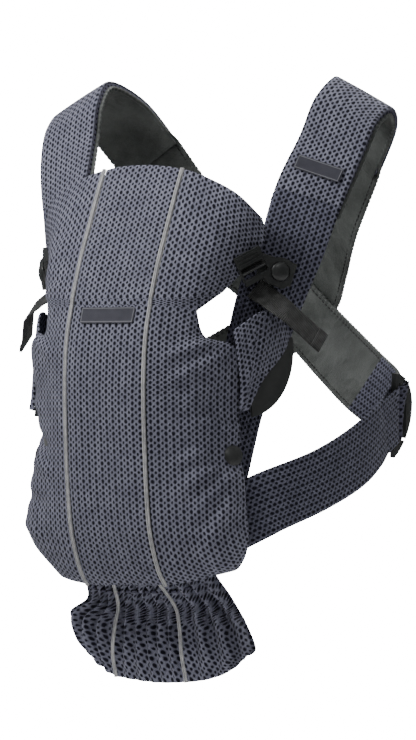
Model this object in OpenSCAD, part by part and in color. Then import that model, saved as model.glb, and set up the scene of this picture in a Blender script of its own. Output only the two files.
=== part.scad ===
// Soft front baby carrier: mesh pouch with folding head support, padded
// shoulder straps that cross at the back, waist straps and moulded buckles.
// Origin midway between the two shoulder crowns, +Z up, the pouch faces -Y.

/* [Overall size] */
// Distance between the centres of the two shoulder crowns
shoulder_span = 332; // [290:1:380]
// Depth from the front of the pouch to the back cross
carrier_depth = 384; // [330:1:440]
// Height from the crowns down to the ruffle's hem
carrier_height = 580; // [520:1:640]
// Sideways lean of the back cross as worn
back_sway = -15; // [-20:1:20]

/* [Pouch] */
// Width of the centre panel between the two pipings
centre_panel_w = 92; // [80:1:104]
// Thickness of the spacer mesh panels
mesh_t = 3; // [2:0.1:4]
// Thickness of the inner lining
lining_t = 1.2; // [0.8:0.1:2]
// Thickness of the foam stiffener in the head support
stiffener_t = 2; // [1:0.1:3]
// Diameter of the piping cord over the seams
piping_d = 4; // [3:0.1:5]
// Gap left between layers and between sewn neighbours
sew_gap = 0.4; // [0.3:0.05:1]
// Thickness of the ruffle under the pouch
ruffle_t = 8; // [5:0.5:10]

/* [Straps] */
// Width of the padded shoulder straps
shoulder_w = 71; // [60:1:80]
// Width of the front strips below the shoulders
front_strip_w = 62; // [52:1:66]
// Width of the back straps
back_w = 62; // [52:1:68]
// Width of the waist straps
waist_w = 62; // [52:1:66]
// Thickness of the strap covers
cover_t = 2.6; // [2:0.1:4]
// Thickness of the front strips
strip_t = 4; // [3:0.1:5]
// Thickness of the foam in the shoulder pads
pad_t = 5; // [3:0.5:8]
// Gap between the two back straps where they cross
cross_gap = 4.5; // [4:0.1:6]
// Side of the square patch over the cross
cross_patch_w = 44; // [30:1:50]

/* [Webbing and buckles] */
// Width of the head support webbing
webbing_w = 25; // [20:1:26]
// Thickness of the webbing
webbing_t = 1.6; // [1.2:0.1:2]
// Length of the hanging webbing tail
tail_len = 84; // [60:1:100]
// Diameter of the release button
button_d = 18.6; // [16:0.1:20]
// Travel of the release button
button_travel = 1.5; // [1:0.1:2]
// Radial clearance round the release button
button_gap = 0.6; // [0.4:0.1:1]
// Outside diameter of the buckle plate round the button
plate_d = 28; // [27:0.5:32]
// Thickness of the buckle plate
plate_t = 4; // [3.5:0.1:5]
// Height of the socket under the plate
socket_h = 9; // [6:0.5:11]
// Width of the patch under the socket
patch_w = 38; // [26:1:44]
// Diameter of the ladder bars
ladder_bar_d = 3; // [2.5:0.1:3.5]
// Length of the side clasp leaf
leaf_len = 100; // [90:1:106]
// Width of the side clasp leaf
leaf_w = 40; // [34:1:42]
// Thickness of the side clasp leaf
leaf_t = 3; // [2.5:0.1:4]
// Diameter of the snap cap
snap_d = 20; // [16:0.5:21]
// Radius of the snap stud
stud_r = 3; // [2.5:0.1:4]
// Length of the waist slider across the strap
slider_len = 90; // [84:1:98]
// Width of the waist slider along the strap
slider_w = 34; // [32:1:40]
// Thickness of the waist slider
slider_t = 5; // [4:0.5:6]
// Clear width of each slot in the waist slider
slot_w = 6; // [5.5:0.1:7]
// Width of the slider's bars
bar_w = 5; // [4:0.5:6]
// Clearance between a bar and the strap loop round it
loop_gap = 0.35; // [0.2:0.1:0.6]
// Thickness of the strap loops round the bars
loop_t = 1.6; // [1.2:0.1:2.2]

/* [Labels] */
// Length of the blank patch on the pouch
pouch_label_w = 60; // [40:1:64]
// Length of the blank patch on the shoulder strap
strap_label_w = 50; // [36:1:56]
// Height of the blank patches
label_h = 15; // [10:1:18]

/* [Hidden] */
$fn = 48;

mesh_grey = [0.40, 0.41, 0.48];
lining_grey = [0.18, 0.19, 0.20];
satin_grey = [0.34, 0.36, 0.35];
piping_grey = [0.72, 0.72, 0.74];
plastic_grey = [0.20, 0.20, 0.21];

// The shapes are drawn at these nominal sizes and stretched to the chosen ones
fit = [shoulder_span / 332, carrier_depth / 384, carrier_height / 580];
half_w = centre_panel_w / 2;

function stretch(p) = [p.x * fit.x, p.y * fit.y, p.z * fit.z];
function unit(v) = v / norm(v);
function mix(a, b, t) = a + (b - a) * t;
function smooth(t) = let(c = min(max(t, 0), 1)) c * c * (3 - 2 * c);

// Smooth curve through a list of points; t runs from 0 to the last index
function curve(p, t) =
    let(last = len(p) - 1, i = min(max(floor(t), 0), last - 1), f = t - i)
    let(a = p[max(i - 1, 0)], b = p[i], c = p[i + 1], d = p[min(i + 2, last)])
    b + (c - a) * f / 2 + (2 * a - 5 * b + 4 * c - d) * f * f / 2
      + (3 * b - a - 3 * c + d) * f * f * f / 2;

// ---------------------------------------------------------------- surfaces
// Half rows of the pouch from the neck line down: centre, piping, side, side, edge
POUCH = [
    [[0, -206, -208], [half_w, -204, -208], [70, -196, -209], [81, -190, -211], [88, -184, -214]],
    [[0, -214, -233], [half_w, -211, -233], [76, -197, -234], [87, -189, -236], [94, -178, -238]],
    [[0, -218, -262], [half_w, -215, -262], [86, -196, -260], [105, -177, -253], [117, -158, -250]],
    [[0, -219, -300], [half_w, -216, -300], [86, -194, -300], [104, -173, -300], [116, -152, -300]],
    [[0, -217, -345], [half_w, -214, -345], [88, -193, -345], [106, -173, -345], [118, -152, -345]],
    [[0, -212, -395], [half_w, -210, -395], [92, -193, -395], [114, -174, -395], [125, -155, -395]],
    [[0, -206, -432], [half_w, -204, -432], [94, -190, -432], [117, -172, -432], [128, -153, -430]],
    [[0, -192, -466], [half_w, -190, -466], [88, -178, -462], [108, -164, -456], [119, -148, -449]],
    [[0, -178, -483], [half_w, -176, -483], [79, -167, -478], [94, -157, -472], [105, -146, -464]]
];
// Half rows of the head support from its top edge down to the neck line
HEAD = [
    [[0, -145, -69], [half_w, -146, -73], [80, -144, -84], [110, -141, -100], [128, -128, -122]],
    [[0, -158, -95], [half_w, -158, -97], [84, -154, -106], [113, -145, -122], [131, -126, -140]],
    [[0, -174, -128], [half_w, -173, -129], [86, -164, -134], [110, -147, -144], [121, -127, -158]],
    [[0, -190, -164], [half_w, -189, -164], [85, -177, -166], [102, -159, -170], [110, -140, -177]],
    [[0, -205, -202], [half_w, -203, -202], [78, -192, -201], [94, -178, -199], [103, -160, -195]]
];
columns = 4;

function full_row(r) = [
    for (i = [-columns:columns])
        let(p = r[abs(i)]) stretch([i < 0 ? -p.x : p.x, p.y, p.z])
];
// Point at column u (-4 to 4) and row v of a surface, and its outward normal
function on(surf, u, v) = curve([for (r = surf) curve(full_row(r), u + columns)], v);
function normal_at(surf, u, v) =
    let(e = 0.02, last = len(surf) - 1)
    let(u0 = max(u - e, -columns), u1 = min(u + e, columns), v0 = max(v - e, 0), v1 = min(v + e, last))
    unit(cross(on(surf, u, v1) - on(surf, u, v0), on(surf, u1, v) - on(surf, u0, v)));
function off(surf, u, v, h) = on(surf, u, v) - normal_at(surf, u, v) * -h;

// Closed solid between two grids of points, rows by columns
module slab(top, bottom) {
    rows = len(top);
    cols = len(top[0]);
    n = rows * cols;
    points = concat([for (r = top) each r], [for (r = bottom) each r]);
    faces = concat(
        [for (i = [0:rows - 2]) for (j = [0:cols - 2])
            let(a = i * cols + j) each [[a, a + 1, a + cols], [a + 1, a + cols + 1, a + cols]]],
        [for (i = [0:rows - 2]) for (j = [0:cols - 2])
            let(a = n + i * cols + j) each [[a, a + cols, a + 1], [a + 1, a + cols, a + cols + 1]]],
        [for (j = [0:cols - 2]) each [[j, n + j, j + 1], [j + 1, n + j, n + j + 1]]],
        [for (j = [0:cols - 2])
            let(a = (rows - 1) * cols + j) each [[a, a + 1, n + a], [a + 1, n + a + 1, n + a]]],
        [for (i = [0:rows - 2])
            let(a = i * cols) each [[a, a + cols, n + a], [a + cols, n + a + cols, n + a]]],
        [for (i = [0:rows - 2])
            let(a = i * cols + cols - 1) each [[a, n + a, a + cols], [a + cols, n + a, n + a + cols]]]
    );
    polyhedron(points, faces, convexity = 8);
}

// Panel of a surface between two columns and two rows, from depth lo to hi
module panel(surf, u0, u1, v0, v1, lo, hi, nu, nv) {
    top = [for (i = [0:nv]) [for (j = [0:nu])
        off(surf, mix(u0, u1, j / nu), mix(v0, v1, i / nv), hi)]];
    low = [for (i = [0:nv]) [for (j = [0:nu])
        off(surf, mix(u0, u1, j / nu), mix(v0, v1, i / nv), lo)]];
    slab(top, low);
}

// Round cord over a surface along column u
module cord_on(surf, u, v0, v1, d, lift, rings) {
    sides = 8;
    rows = [for (i = [0:rings])
        let(v = mix(v0, v1, i / rings), c = off(surf, u, v, lift), n = normal_at(surf, u, v))
        let(along = unit(on(surf, u, min(v + 0.05, len(surf) - 1)) - on(surf, u, max(v - 0.05, 0))))
        let(side = cross(along, n))
        [for (k = [0:sides - 1]) c + (side * cos(360 * k / sides) - n * sin(360 * k / sides)) * d / 2]];
    tube(rows);
}

// Closed tube through rings of points
module tube(rows) {
    k = len(rows[0]);
    last = len(rows) - 1;
    faces = concat(
        [[for (j = [0:k - 1]) j]],
        [[for (j = [k - 1:-1:0]) last * k + j]],
        [for (i = [0:last - 1]) for (j = [0:k - 1])
            let(a = i * k + j, b = i * k + (j + 1) % k)
            each (k == 4 && j == 3 ? [[a, a + k, b + k], [a, b + k, b]] : [[a, a + k, b], [b, a + k, b + k]])]
    );
    polyhedron([for (r = rows) each r], faces, convexity = 6);
}

// ------------------------------------------------------------------ straps
// One strap from the waist up the front, over the crown and down the back to
// the far slider: points on its outer face, and its outward edge's direction
STRAP = [
    [88, -159, -390], [104, -136, -307], [124, -106, -216], [138, -95, -160], [146, -73, -100],
    [157, -50, -50], [163, -30, -13], [166, 0, 4], [150, 42, -14], [122, 68, -58], [88, 93, -108],
    [54, 130, -154], [27, 158, -184], [0, 163, -208], [-27, 159, -231], [-60, 141, -254],
    [-106, 112, -282], [-148, 85, -302], [-166, 66, -311]
];
STRAP_EDGE = [
    [0.85, 0.52, 0], [0.45, 0.89, 0], [0.45, 0.88, -0.1], [0.73, 0.66, -0.15], [0.92, 0.35, -0.2],
    [0.95, 0.12, -0.28], [0.93, 0.12, -0.36], [0.88, 0.1, -0.46], [0.85, 0.07, -0.5], [0.62, 0.05, -0.78],
    [0.55, 0.1, -0.83], [0.55, 0.05, -0.83], [0.6, 0, -0.8], [0.66, 0, -0.75], [0.66, 0, -0.75],
    [0.6, -0.1, -0.8], [0.55, -0.2, -0.8], [0.3, -0.1, -0.92], [0.15, 0.2, -0.95]
];
ring_step = 0.2;
strip_start = 0.2;
crown_front = 4;
crown_back = 9;
cross_at = 13;
strap_end = 17.6;
// Waist strap from behind the pouch to the slider, with its lower edge's direction
WAIST = [
    [103, -152, -421], [137, -134, -402], [164, -82, -381], [176, -32, -359],
    [178, 12, -336], [172, 45, -320]
];
WAIST_EDGE = [
    [0, 0, -1], [0.05, 0.05, -1], [0, 0.3, -0.95], [0, 0.35, -0.94], [-0.1, 0.3, -0.93], [-0.15, 0.3, -0.94]
];
waist_end = 4.6;

// The back leans sideways in proportion to its depth; s is the side, 1 or -1
function sway(p, s) = [p.x + s * back_sway * max(p.y, 0) / 163, p.y, p.z];
function path_at(path, t, s) = curve([for (p = path) sway(stretch(p), s)], t);
// Frame on a path: place, across, outward normal and direction along
function frame_at(path, edge, t, s) =
    let(last = len(path) - 1, e = 0.02)
    let(d = unit(path_at(path, min(t + e, last), s) - path_at(path, max(t - e, 0), s)))
    let(n = unit(cross(curve(edge, t), d)))
    [path_at(path, t, s), cross(d, n), n, d];
function strap_width(t) =
    t < 7 ? mix(front_strip_w, shoulder_w, smooth((t - 2.5) / 2))
          : mix(shoulder_w, back_w, smooth((t - 8) / 2));
// The right strap passes outside the left one at the cross
function cross_lift(t, s) =
    s * (cover_t + lining_t + cross_gap) / 2 * smooth(1.5 - abs(t - cross_at) / 2);

module ribbon(path, edge, s, t0, t1, w0, w1, lo, hi, rings) {
    rows = [for (i = [0:rings])
        let(t = mix(t0, t1, i / rings), f = frame_at(path, edge, t, s))
        let(w = mix(w0, w1, i / rings) / 2, c = f[0])
        [c - f[1] * w + f[2] * lo, c + f[1] * w + f[2] * lo,
         c + f[1] * w + f[2] * hi, c - f[1] * w + f[2] * hi]];
    tube([for (r = rows) [r[0], r[3], r[2], r[1]]]);
}
// Strap layer between two places on the path, with rings at the same steps in all layers
module strap_ribbon(s, t0, t1, lo, hi) {
    steps = [for (t = [ring_step * ceil(t0 / ring_step + 0.3):ring_step:t1 - ring_step * 0.3]) t];
    rows = [for (t = concat([t0], steps, [t1]))
        let(f = frame_at(STRAP, STRAP_EDGE, t, s))
        let(w = strap_width(t) / 2, c = f[0] + f[2] * cross_lift(t, s))
        [c - f[1] * w + f[2] * lo, c - f[1] * w + f[2] * hi,
         c + f[1] * w + f[2] * hi, c + f[1] * w + f[2] * lo]];
    tube(rows);
}
// Draws the right side as it is and the left side mirrored
module side(s) {
    if (s > 0)
        children();
    else
        mirror([1, 0, 0]) children();
}
// Puts children in a frame: x across, y along, z outward
module place(f) {
    multmatrix([
        [f[1].x, f[3].x, f[2].x, f[0].x],
        [f[1].y, f[3].y, f[2].y, f[0].y],
        [f[1].z, f[3].z, f[2].z, f[0].z],
        [0, 0, 0, 1]
    ]) children();
}

// ------------------------------------------------------------------- pouch
seam_in = (piping_d / 2 + sew_gap) / half_w;
seam_out = (piping_d / 2 + sew_gap) / 36;
lining_hi = -mesh_t - 3 * sew_gap;
lining_lo = lining_hi - lining_t;

module centre_panel()
    color(mesh_grey) panel(POUCH, -1 + seam_in, 1 - seam_in, 0, 8, -mesh_t, 0, 6, 32);
module side_panel(s)
    color(mesh_grey) side(s) panel(POUCH, 1 + seam_out, 4, 0, 8, -mesh_t, 0, 8, 32);
module pouch_lining()
    color(lining_grey) panel(POUCH, -3.8, 3.8, 0.05, 7.95, lining_lo, lining_hi, 20, 32);
module pouch_piping(s)
    color(piping_grey) side(s) cord_on(POUCH, 1, 0, 8, piping_d, 0, 32);
module pouch_label() {
    lift = sew_gap;
    half = pouch_label_w / 2 / half_w;
    v0 = 0.15;
    v1 = v0 + label_h / 25;
    color(lining_grey) panel(POUCH, -half, half, v0, v1, lift, lift + 1, 8, 3);
}

// Seat between the pouch's bottom edge and the belly band
SEAT = [
    [[0, -172, -488], [40, -171, -488], [66, -162, -484]],
    [[0, -155, -491], [40, -154, -491], [64, -148, -485]],
    [[0, -134, -486], [40, -134, -486], [62, -134, -480]]
];
function seat_row(r) = [for (i = [-2:2]) let(p = r[abs(i)]) stretch([i < 0 ? -p.x : p.x, p.y, p.z])];
module seat_panel() {
    n = 8;
    top = [for (i = [0:6]) [for (j = [0:n])
        curve([for (r = SEAT) curve(seat_row(r), 4 * j / n)], 2 * i / 6)]];
    low = [for (r = top) [for (p = r) p - [0, 0, mesh_t]]];
    color(mesh_grey) slab([for (r = top) [for (j = [n:-1:0]) r[j]]],
        [for (r = low) [for (j = [n:-1:0]) r[j]]]);
}
// Band across the wearer's belly that ties the front strips together
BELLY = [[-84, -146, -440], [-50, -132, -442], [0, -127, -443], [50, -132, -442], [84, -146, -440]];
belly_w = 66;
module belly_band() {
    edge = [for (p = BELLY) [0, 0, -1]];
    color(lining_grey) ribbon(BELLY, edge, 1, 0, 4, belly_w, belly_w, -1.5, 1.5, 16);
}

// ------------------------------------------------------------ head support
head_lining_hi = -mesh_t - stiffener_t - 5 * sew_gap;
module head_centre_panel()
    color(mesh_grey) panel(HEAD, -1 + seam_in, 1 - seam_in, 0, 4, -mesh_t, 0, 6, 10);
module head_side(s)
    color(mesh_grey) side(s) panel(HEAD, 1 + seam_out, 4, 0, 4, -mesh_t, 0, 8, 10);
module head_piping(s)
    color(piping_grey) side(s) cord_on(HEAD, 1, 0, 4, piping_d, 0, 10);
module head_stiffener()
    color("white") panel(HEAD, -2.6, 2.6, 0.2, 3.6,
        -mesh_t - 2 * sew_gap - stiffener_t, -mesh_t - 2 * sew_gap, 10, 8);
module head_lining()
    color(lining_grey) panel(HEAD, -3.8, 3.8, 0.1, 3.9, head_lining_hi - lining_t, head_lining_hi, 16, 8);

// ---------------------------------------------------- head support buckles
buckle_at = 2.7;
buckle_in = -9;
buckle_reach = 0.22;
patch_t = 1.2;
socket_z = 3;
window_side = 0.6;
button_sunk = 0.6;
rib_w = 1.4;
rib_h = 0.8;
rib_step = 3.5;
rib_inset = 3;
plate_z = socket_z + socket_h + 2 * sew_gap;
dome_h = 3.2;
ladder_angle = -46;
ladder_off = [-26, -5.5];
ladder_w = webbing_w + 4;
tab_l = 13;
ladder_end = 12;
window_from = -6;
window_l = 12;
bar_at = window_from + window_l / 2;
// Frame on the strip at t, moved across to the buckle's line
function beside(t, s) =
    let(f = frame_at(STRAP, STRAP_EDGE, t, s)) [f[0] + f[1] * buckle_in, f[1], f[2], f[3]];
function buckle_frame(s) = beside(buckle_at, s);

// Patch sewn flat on the strip under the socket
module buckle_patch(s)
    color(lining_grey) side(s) {
        rows = [for (i = [0:3])
            let(t = buckle_at - buckle_reach + 2 * buckle_reach * i / 3, f = beside(t, s))
            let(w = patch_w / 2, c = f[0], lo = sew_gap, hi = sew_gap + patch_t)
            [c - f[1] * w + f[2] * lo, c - f[1] * w + f[2] * hi,
             c + f[1] * w + f[2] * hi, c + f[1] * w + f[2] * lo]];
        tube(rows);
    }
module buckle_base(s)
    color(plastic_grey) side(s) place(buckle_frame(s)) translate([0, 0, socket_z])
        cylinder(d = button_d, h = socket_h);
// Plate round the button joined to the ladder that grips the webbing
module buckle_outline() {
    circle(d = plate_d);
    hull()
        for (c = [[-19, 6, 5], [4, 7, 6.5], [8, -1, 6], [5, -10, 6], [-9, -8, 6]])
            translate([c.x, c.y]) circle(r = c.z, $fn = 32);
    translate(ladder_off) rotate(ladder_angle)
        translate([window_from - tab_l, -ladder_w / 2]) square([tab_l + ladder_end - window_from, ladder_w]);
}
module on_ladder(z)
    translate([ladder_off.x, ladder_off.y, z]) rotate(ladder_angle) children();
module buckle_plate(s)
    color(plastic_grey) side(s) place(buckle_frame(s)) translate([0, 0, plate_z]) {
        difference() {
            linear_extrude(plate_t) buckle_outline();
            translate([0, 0, -1]) cylinder(d = button_d + 2 * button_gap, h = plate_t + 2);
            on_ladder(-1) translate([window_from, -webbing_w / 2 - window_side, 0])
                cube([window_l, webbing_w + 2 * window_side, plate_t + 2]);
        }
        on_ladder(plate_t / 2) translate([bar_at, 0, 0]) rotate([90, 0, 0])
            cylinder(d = ladder_bar_d, h = ladder_w - 1, center = true);
        for (k = [0:2])
            on_ladder(plate_t)
                translate([window_from - tab_l + 2 + rib_step * k, -ladder_w / 2 + rib_inset, 0])
                    cube([rib_w, ladder_w - 2 * rib_inset, rib_h]);
    }
dome_steps = 8;
module release_button(s)
    color(plastic_grey) side(s) place(buckle_frame(s))
        translate([0, 0, plate_z + button_travel - button_sunk])
            rotate_extrude() polygon(concat([[0, 0], [button_d / 2, 0]],
                [for (k = [0:dome_steps]) let(a = 90 * k / dome_steps)
                    [button_d / 2 * cos(a), plate_t - 1 + dome_h * sin(a)]]));

// Webbing from the head support's wing to the ladder, and its hanging tail
module web_strip(s, pts, wdir, w, t) {
    rows = [for (i = [0:len(pts) - 1])
        let(d = unit(pts[min(i + 1, len(pts) - 1)] - pts[max(i - 1, 0)]))
        let(a = unit(wdir[i] - d * (wdir[i] * d)), n = cross(a, d), c = pts[i])
        [c - a * w / 2, c - a * w / 2 + n * t, c + a * w / 2 + n * t, c + a * w / 2]];
    color(lining_grey) side(s) place(buckle_frame(s)) tube(rows);
}
function heading(a) = [cos(a), sin(a), 0];
web_z = plate_z - webbing_t - sew_gap;
function ladder_point(p, z) = [ladder_off.x, ladder_off.y, z] + heading(ladder_angle) * p;
module head_webbing(s) {
    pts = [for (p = [-9, -4, bar_at]) ladder_point(p, web_z)];
    web_strip(s, pts, [for (p = pts) heading(ladder_angle + 90)], webbing_w, webbing_t);
}
tail_angle = -24;
tail_from = [-18, -21];
tail_lift = 22;
tail_rise = 0.45;
tail_tilt = 34;
// The tail rises clear of the wing below it and tilts its lower edge outward
module webbing_tail(s) {
    steps = [0, 0.06, 0.12, 0.18, 0.25, 0.35, 0.5, 0.65, 0.8, 1];
    start = [tail_from.x, tail_from.y, web_z];
    pts = [for (q = steps)
        start + heading(tail_angle) * tail_len * q
            + [0, 0, tail_lift * smooth((q - 0.02) / tail_rise)]];
    wdir = [for (q = steps)
        let(tilt = tail_tilt * smooth(q / 0.2))
        heading(tail_angle + 90) * cos(tilt) - [0, 0, sin(tilt)]];
    web_strip(s, pts, wdir, webbing_w, webbing_t);
}

// -------------------------------------------------------------- lower wings
// Half columns of the wing: front edge by the pouch, crease, rear edge; top row first
WING = [
    [[103, -168, -243], [118, -150, -226], [127, -131, -214], [132, -112, -218], [134, -92, -236]],
    [[110, -164, -262], [120, -152, -250], [127, -140, -244], [131, -122, -246], [133, -102, -254]],
    [[117, -158, -290], [121, -154, -286], [124, -148, -282], [127, -141, -282], [130, -134, -282]],
    [[118, -157, -312], [120, -156, -312], [122, -155, -312], [124, -154, -312], [126, -152, -312]]
];
function wing_at(u, v) = curve([for (r = WING) curve([for (p = r) stretch(p)], u)], v);
function wing_normal(u, v) =
    let(e = 0.02, u0 = max(u - e, 0), u1 = min(u + e, 4), v0 = max(v - e, 0), v1 = min(v + e, 3))
    unit(cross(wing_at(u, v1) - wing_at(u, v0), wing_at(u1, v) - wing_at(u0, v)));
wing_out = 5.2;
crease_gap = 0.16;
module wing_part(s, u0, u1, nu) {
    nv = 10;
    grids = [for (h = [wing_out, wing_out - mesh_t]) [for (i = [0:nv]) [for (j = [0:nu])
        let(u = mix(u0, u1, j / nu), v = 3 * i / nv) wing_at(u, v) + wing_normal(u, v) * h]]];
    color(mesh_grey) side(s) slab(grids[0], grids[1]);
}
module wing_root(s) wing_part(s, 0.62, 2 - crease_gap, 4);
module wing_flap(s) wing_part(s, 2 + crease_gap, 4, 4);

// Leaf shaped clasp under the flap and its base on the front strip
leaf_tip = [133, -88, -233];
leaf_foot = [126, -153, -316];
leaf_out = [0.965, -0.24, 0.1];
leaf_lift = -1.5;
function leaf_frame() =
    let(a = stretch(leaf_tip), b = stretch(leaf_foot), d = unit(a - b))
    let(x = unit(cross(d, leaf_out)), n = cross(x, d))
    [(a + b) / 2, x, n, d];
// Lens of two equal arcs
module lens(l, w) {
    r = (l * l / 4 + w * w / 4) / w;
    intersection() {
        translate([r - w / 2, 0]) circle(r = r, $fn = 96);
        translate([w / 2 - r, 0]) circle(r = r, $fn = 96);
    }
}
leaf_aside = 6;
base_off = [1, -4];
base_t = 2;
base_drop = 2.6;
base_short = 34;
base_narrow = 18;
module clasp_leaf(s)
    color(plastic_grey) side(s) place(leaf_frame()) translate([leaf_aside, 0, leaf_lift])
        linear_extrude(leaf_t) lens(leaf_len, leaf_w);
module clasp_base(s)
    color(plastic_grey) side(s) place(leaf_frame())
        translate([base_off.x, base_off.y, leaf_lift - base_drop]) linear_extrude(base_t) lens(leaf_len - base_short, leaf_w - base_narrow);

// -------------------------------------------------------------------- snaps
snap_u = 3.55;
snap_v = 4.2;
snap_cap_t = 3;
ring_r = 6;
ring_w = 1;
ring_depth = 0.6;
function snap_frame() =
    let(n = normal_at(POUCH, snap_u, snap_v), x = unit(cross([0, 0, 1], n)))
    [on(POUCH, snap_u, snap_v), x, n, cross(n, x)];
// Cap outside and socket inside, riveted through the panel
module snap_cap(s)
    color(plastic_grey) side(s) place(snap_frame()) {
        translate([0, 0, sew_gap]) difference() {
            intersection() {
                cylinder(d = snap_d, h = snap_cap_t);
                translate([0, 0, snap_cap_t - snap_d]) sphere(r = snap_d, $fn = 64);
            }
            translate([0, 0, snap_cap_t - ring_depth]) rotate_extrude() translate([ring_r, 0])
                square([ring_w, 2 * ring_depth]);
        }
    }
socket_len = 4;
flange_t = 2;
flange_in = 5;
module snap_stud(s)
    color(plastic_grey) side(s) place(snap_frame()) translate([0, 0, lining_lo - sew_gap - socket_len]) {
        cylinder(r = stud_r, h = socket_len - 0.2);
        translate([0, 0, -flange_t]) cylinder(d = snap_d - flange_in, h = flange_t);
    }

// ------------------------------------------------------------------- ruffle
// Half rows of the gathered ruffle: centre, piping, side, fold, edge
RUFFLE = [
    [[0, -140, -501], [37, -140, -501], [58, -138, -500], [76, -135, -498], [86, -132, -496]],
    [[0, -142, -520], [34, -142, -520], [60, -136, -518], [84, -132, -514], [102, -126, -510]],
    [[0, -142, -548], [38, -142, -548], [64, -137, -548], [88, -133, -544], [107, -128, -537]],
    [[0, -140, -576], [43, -140, -577], [60, -137, -575], [75, -133, -568], [90, -129, -557]]
];
module ruffle()
    color(mesh_grey) panel(RUFFLE, -4, 4, 0, 3, -ruffle_t, 0, 16, 8);
module ruffle_pipings()
    for (s = [-1, 1])
        color(piping_grey) side(s) cord_on(RUFFLE, 1, 0, 3, piping_d, piping_d / 2 + sew_gap, 10);

// ------------------------------------------------------------------ harness
module front_strip(s)
    color(mesh_grey) side(s) strap_ribbon(s, strip_start, crown_front - 0.02, -strip_t, 0);
module shoulder_cover(s)
    color(mesh_grey) side(s) strap_ribbon(s, crown_front, crown_back - 0.02, -cover_t, 0);
module shoulder_pad(s) {
    hi = -cover_t - sew_gap;
    color("white") side(s) strap_ribbon(s, crown_front + 0.2, crown_back - 0.2, hi - pad_t, hi);
}
module shoulder_lining(s) {
    hi = -cover_t - pad_t - 2 * sew_gap;
    color(lining_grey) side(s) strap_ribbon(s, crown_front, crown_back - 0.02, hi - lining_t, hi);
}
module back_strap(s)
    color(satin_grey) side(s) strap_ribbon(s, crown_back, strap_end, -cover_t - lining_t, 0);
module strap_label() {
    f = frame_at(STRAP, STRAP_EDGE, 4.5, 1);
    color(lining_grey) place(f) translate([0, 0, 2.2])
        linear_extrude(1) square([strap_label_w, label_h], center = true);
}
// Square patch sewn over the cross, outside both straps
module cross_patch() {
    f = frame_at(STRAP, STRAP_EDGE, cross_at, 1);
    lift = cross_lift(cross_at, 1) + sew_gap;
    g = [f[0], [1, 0, 0], [0, 1, 0], [0, 0, -1]];
    color(lining_grey) place(g) translate([0, 0, lift])
        rotate(45) linear_extrude(1.5) square(cross_patch_w, center = true);
}
module waist_strap(s)
    color(mesh_grey) side(s) ribbon(WAIST, WAIST_EDGE, s, 0, waist_end, waist_w, waist_w, -4, 0, 22);

// D-shaped slider that joins the back strap to the waist strap; its middle
// bar turns in the back strap's loop and its front bar holds the waist strap's
SLIDER_AT = [175, 63, -312];
SLIDER_ALONG = [0, 0.95, 0.3];
SLIDER_OUT = [0.97, 0.05, -0.2];
mid_bar_y = -2;
front_bar_y = mid_bar_y - bar_w / 2 - slot_w - bar_w / 2;
loop_r = bar_w / 2 + loop_gap;
function slider_frame(s) =
    let(d = unit(SLIDER_ALONG), n0 = SLIDER_OUT - d * (SLIDER_OUT * d), n = unit(n0))
    [sway(stretch(SLIDER_AT), s), cross(d, n), n, d];
module slider_outline() {
    flat = front_bar_y - bar_w / 2;
    r = (slider_len * slider_len / 4 + slider_w * slider_w) / (2 * slider_w);
    intersection() {
        translate([-slider_len / 2, flat]) square([slider_len, slider_w]);
        translate([0, flat + slider_w - r]) circle(r = r, $fn = 96);
    }
}
module slider(s)
    color(plastic_grey) side(s) place(slider_frame(s)) {
        difference() {
            translate([0, 0, -slider_t / 2]) linear_extrude(slider_t) slider_outline();
            translate([-waist_w / 2 - 2, front_bar_y + bar_w / 2, -slider_t])
                cube([waist_w + 4, slot_w + bar_w + slot_w, 2 * slider_t]);
        }
        translate([0, mid_bar_y, 0]) rotate([0, 90, 0]) cylinder(d = bar_w, h = waist_w + 6, center = true);
    }
// End of a strap sewn round a bar
module strap_loop(s, y, w)
    color(mesh_grey) side(s) place(slider_frame(s)) translate([0, y, 0]) rotate([0, 90, 0]) difference() {
        cylinder(r = loop_r + loop_t, h = w, center = true);
        cylinder(r = loop_r, h = w + 1, center = true);
    }
module back_loop(s) strap_loop(s, mid_bar_y, back_w - 4);

centre_panel();
side_panel(1);  // side_panel_right
side_panel(-1);  // side_panel_left
pouch_lining();
pouch_piping(1);  // pouch_piping_right
pouch_piping(-1);  // pouch_piping_left
seat_panel();
belly_band();
pouch_label();
head_centre_panel();
head_side(1);  // head_side_right
head_side(-1);  // head_side_left
head_piping(1);  // head_piping_right
head_piping(-1);  // head_piping_left
head_stiffener();
head_lining();
head_webbing(1);  // head_webbing_right
head_webbing(-1);  // head_webbing_left
buckle_plate(1);  // buckle_plate_right
buckle_plate(-1);  // buckle_plate_left
release_button(1);  // release_button_right
release_button(-1);  // release_button_left
webbing_tail(1);  // webbing_tail_right
webbing_tail(-1);  // webbing_tail_left
buckle_base(1);  // buckle_base_right
buckle_base(-1);  // buckle_base_left
buckle_patch(1);  // buckle_patch_right
buckle_patch(-1);  // buckle_patch_left
wing_root(1);  // wing_root_right
wing_root(-1);  // wing_root_left
wing_flap(1);  // wing_flap_right
wing_flap(-1);  // wing_flap_left
clasp_leaf(1);  // clasp_leaf_right
clasp_leaf(-1);  // clasp_leaf_left
clasp_base(1);  // clasp_base_right
clasp_base(-1);  // clasp_base_left
snap_cap(1);  // snap_cap_right
snap_cap(-1);  // snap_cap_left
snap_stud(1);  // snap_stud_right
snap_stud(-1);  // snap_stud_left
ruffle();
ruffle_pipings();
front_strip(1);  // front_strip_right
front_strip(-1);  // front_strip_left
shoulder_cover(1);  // shoulder_cover_right
shoulder_cover(-1);  // shoulder_cover_left
shoulder_pad(1);  // shoulder_pad_right
shoulder_pad(-1);  // shoulder_pad_left
shoulder_lining(1);  // shoulder_lining_right
shoulder_lining(-1);  // shoulder_lining_left
strap_label();
back_strap(1);  // back_strap_right
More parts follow.
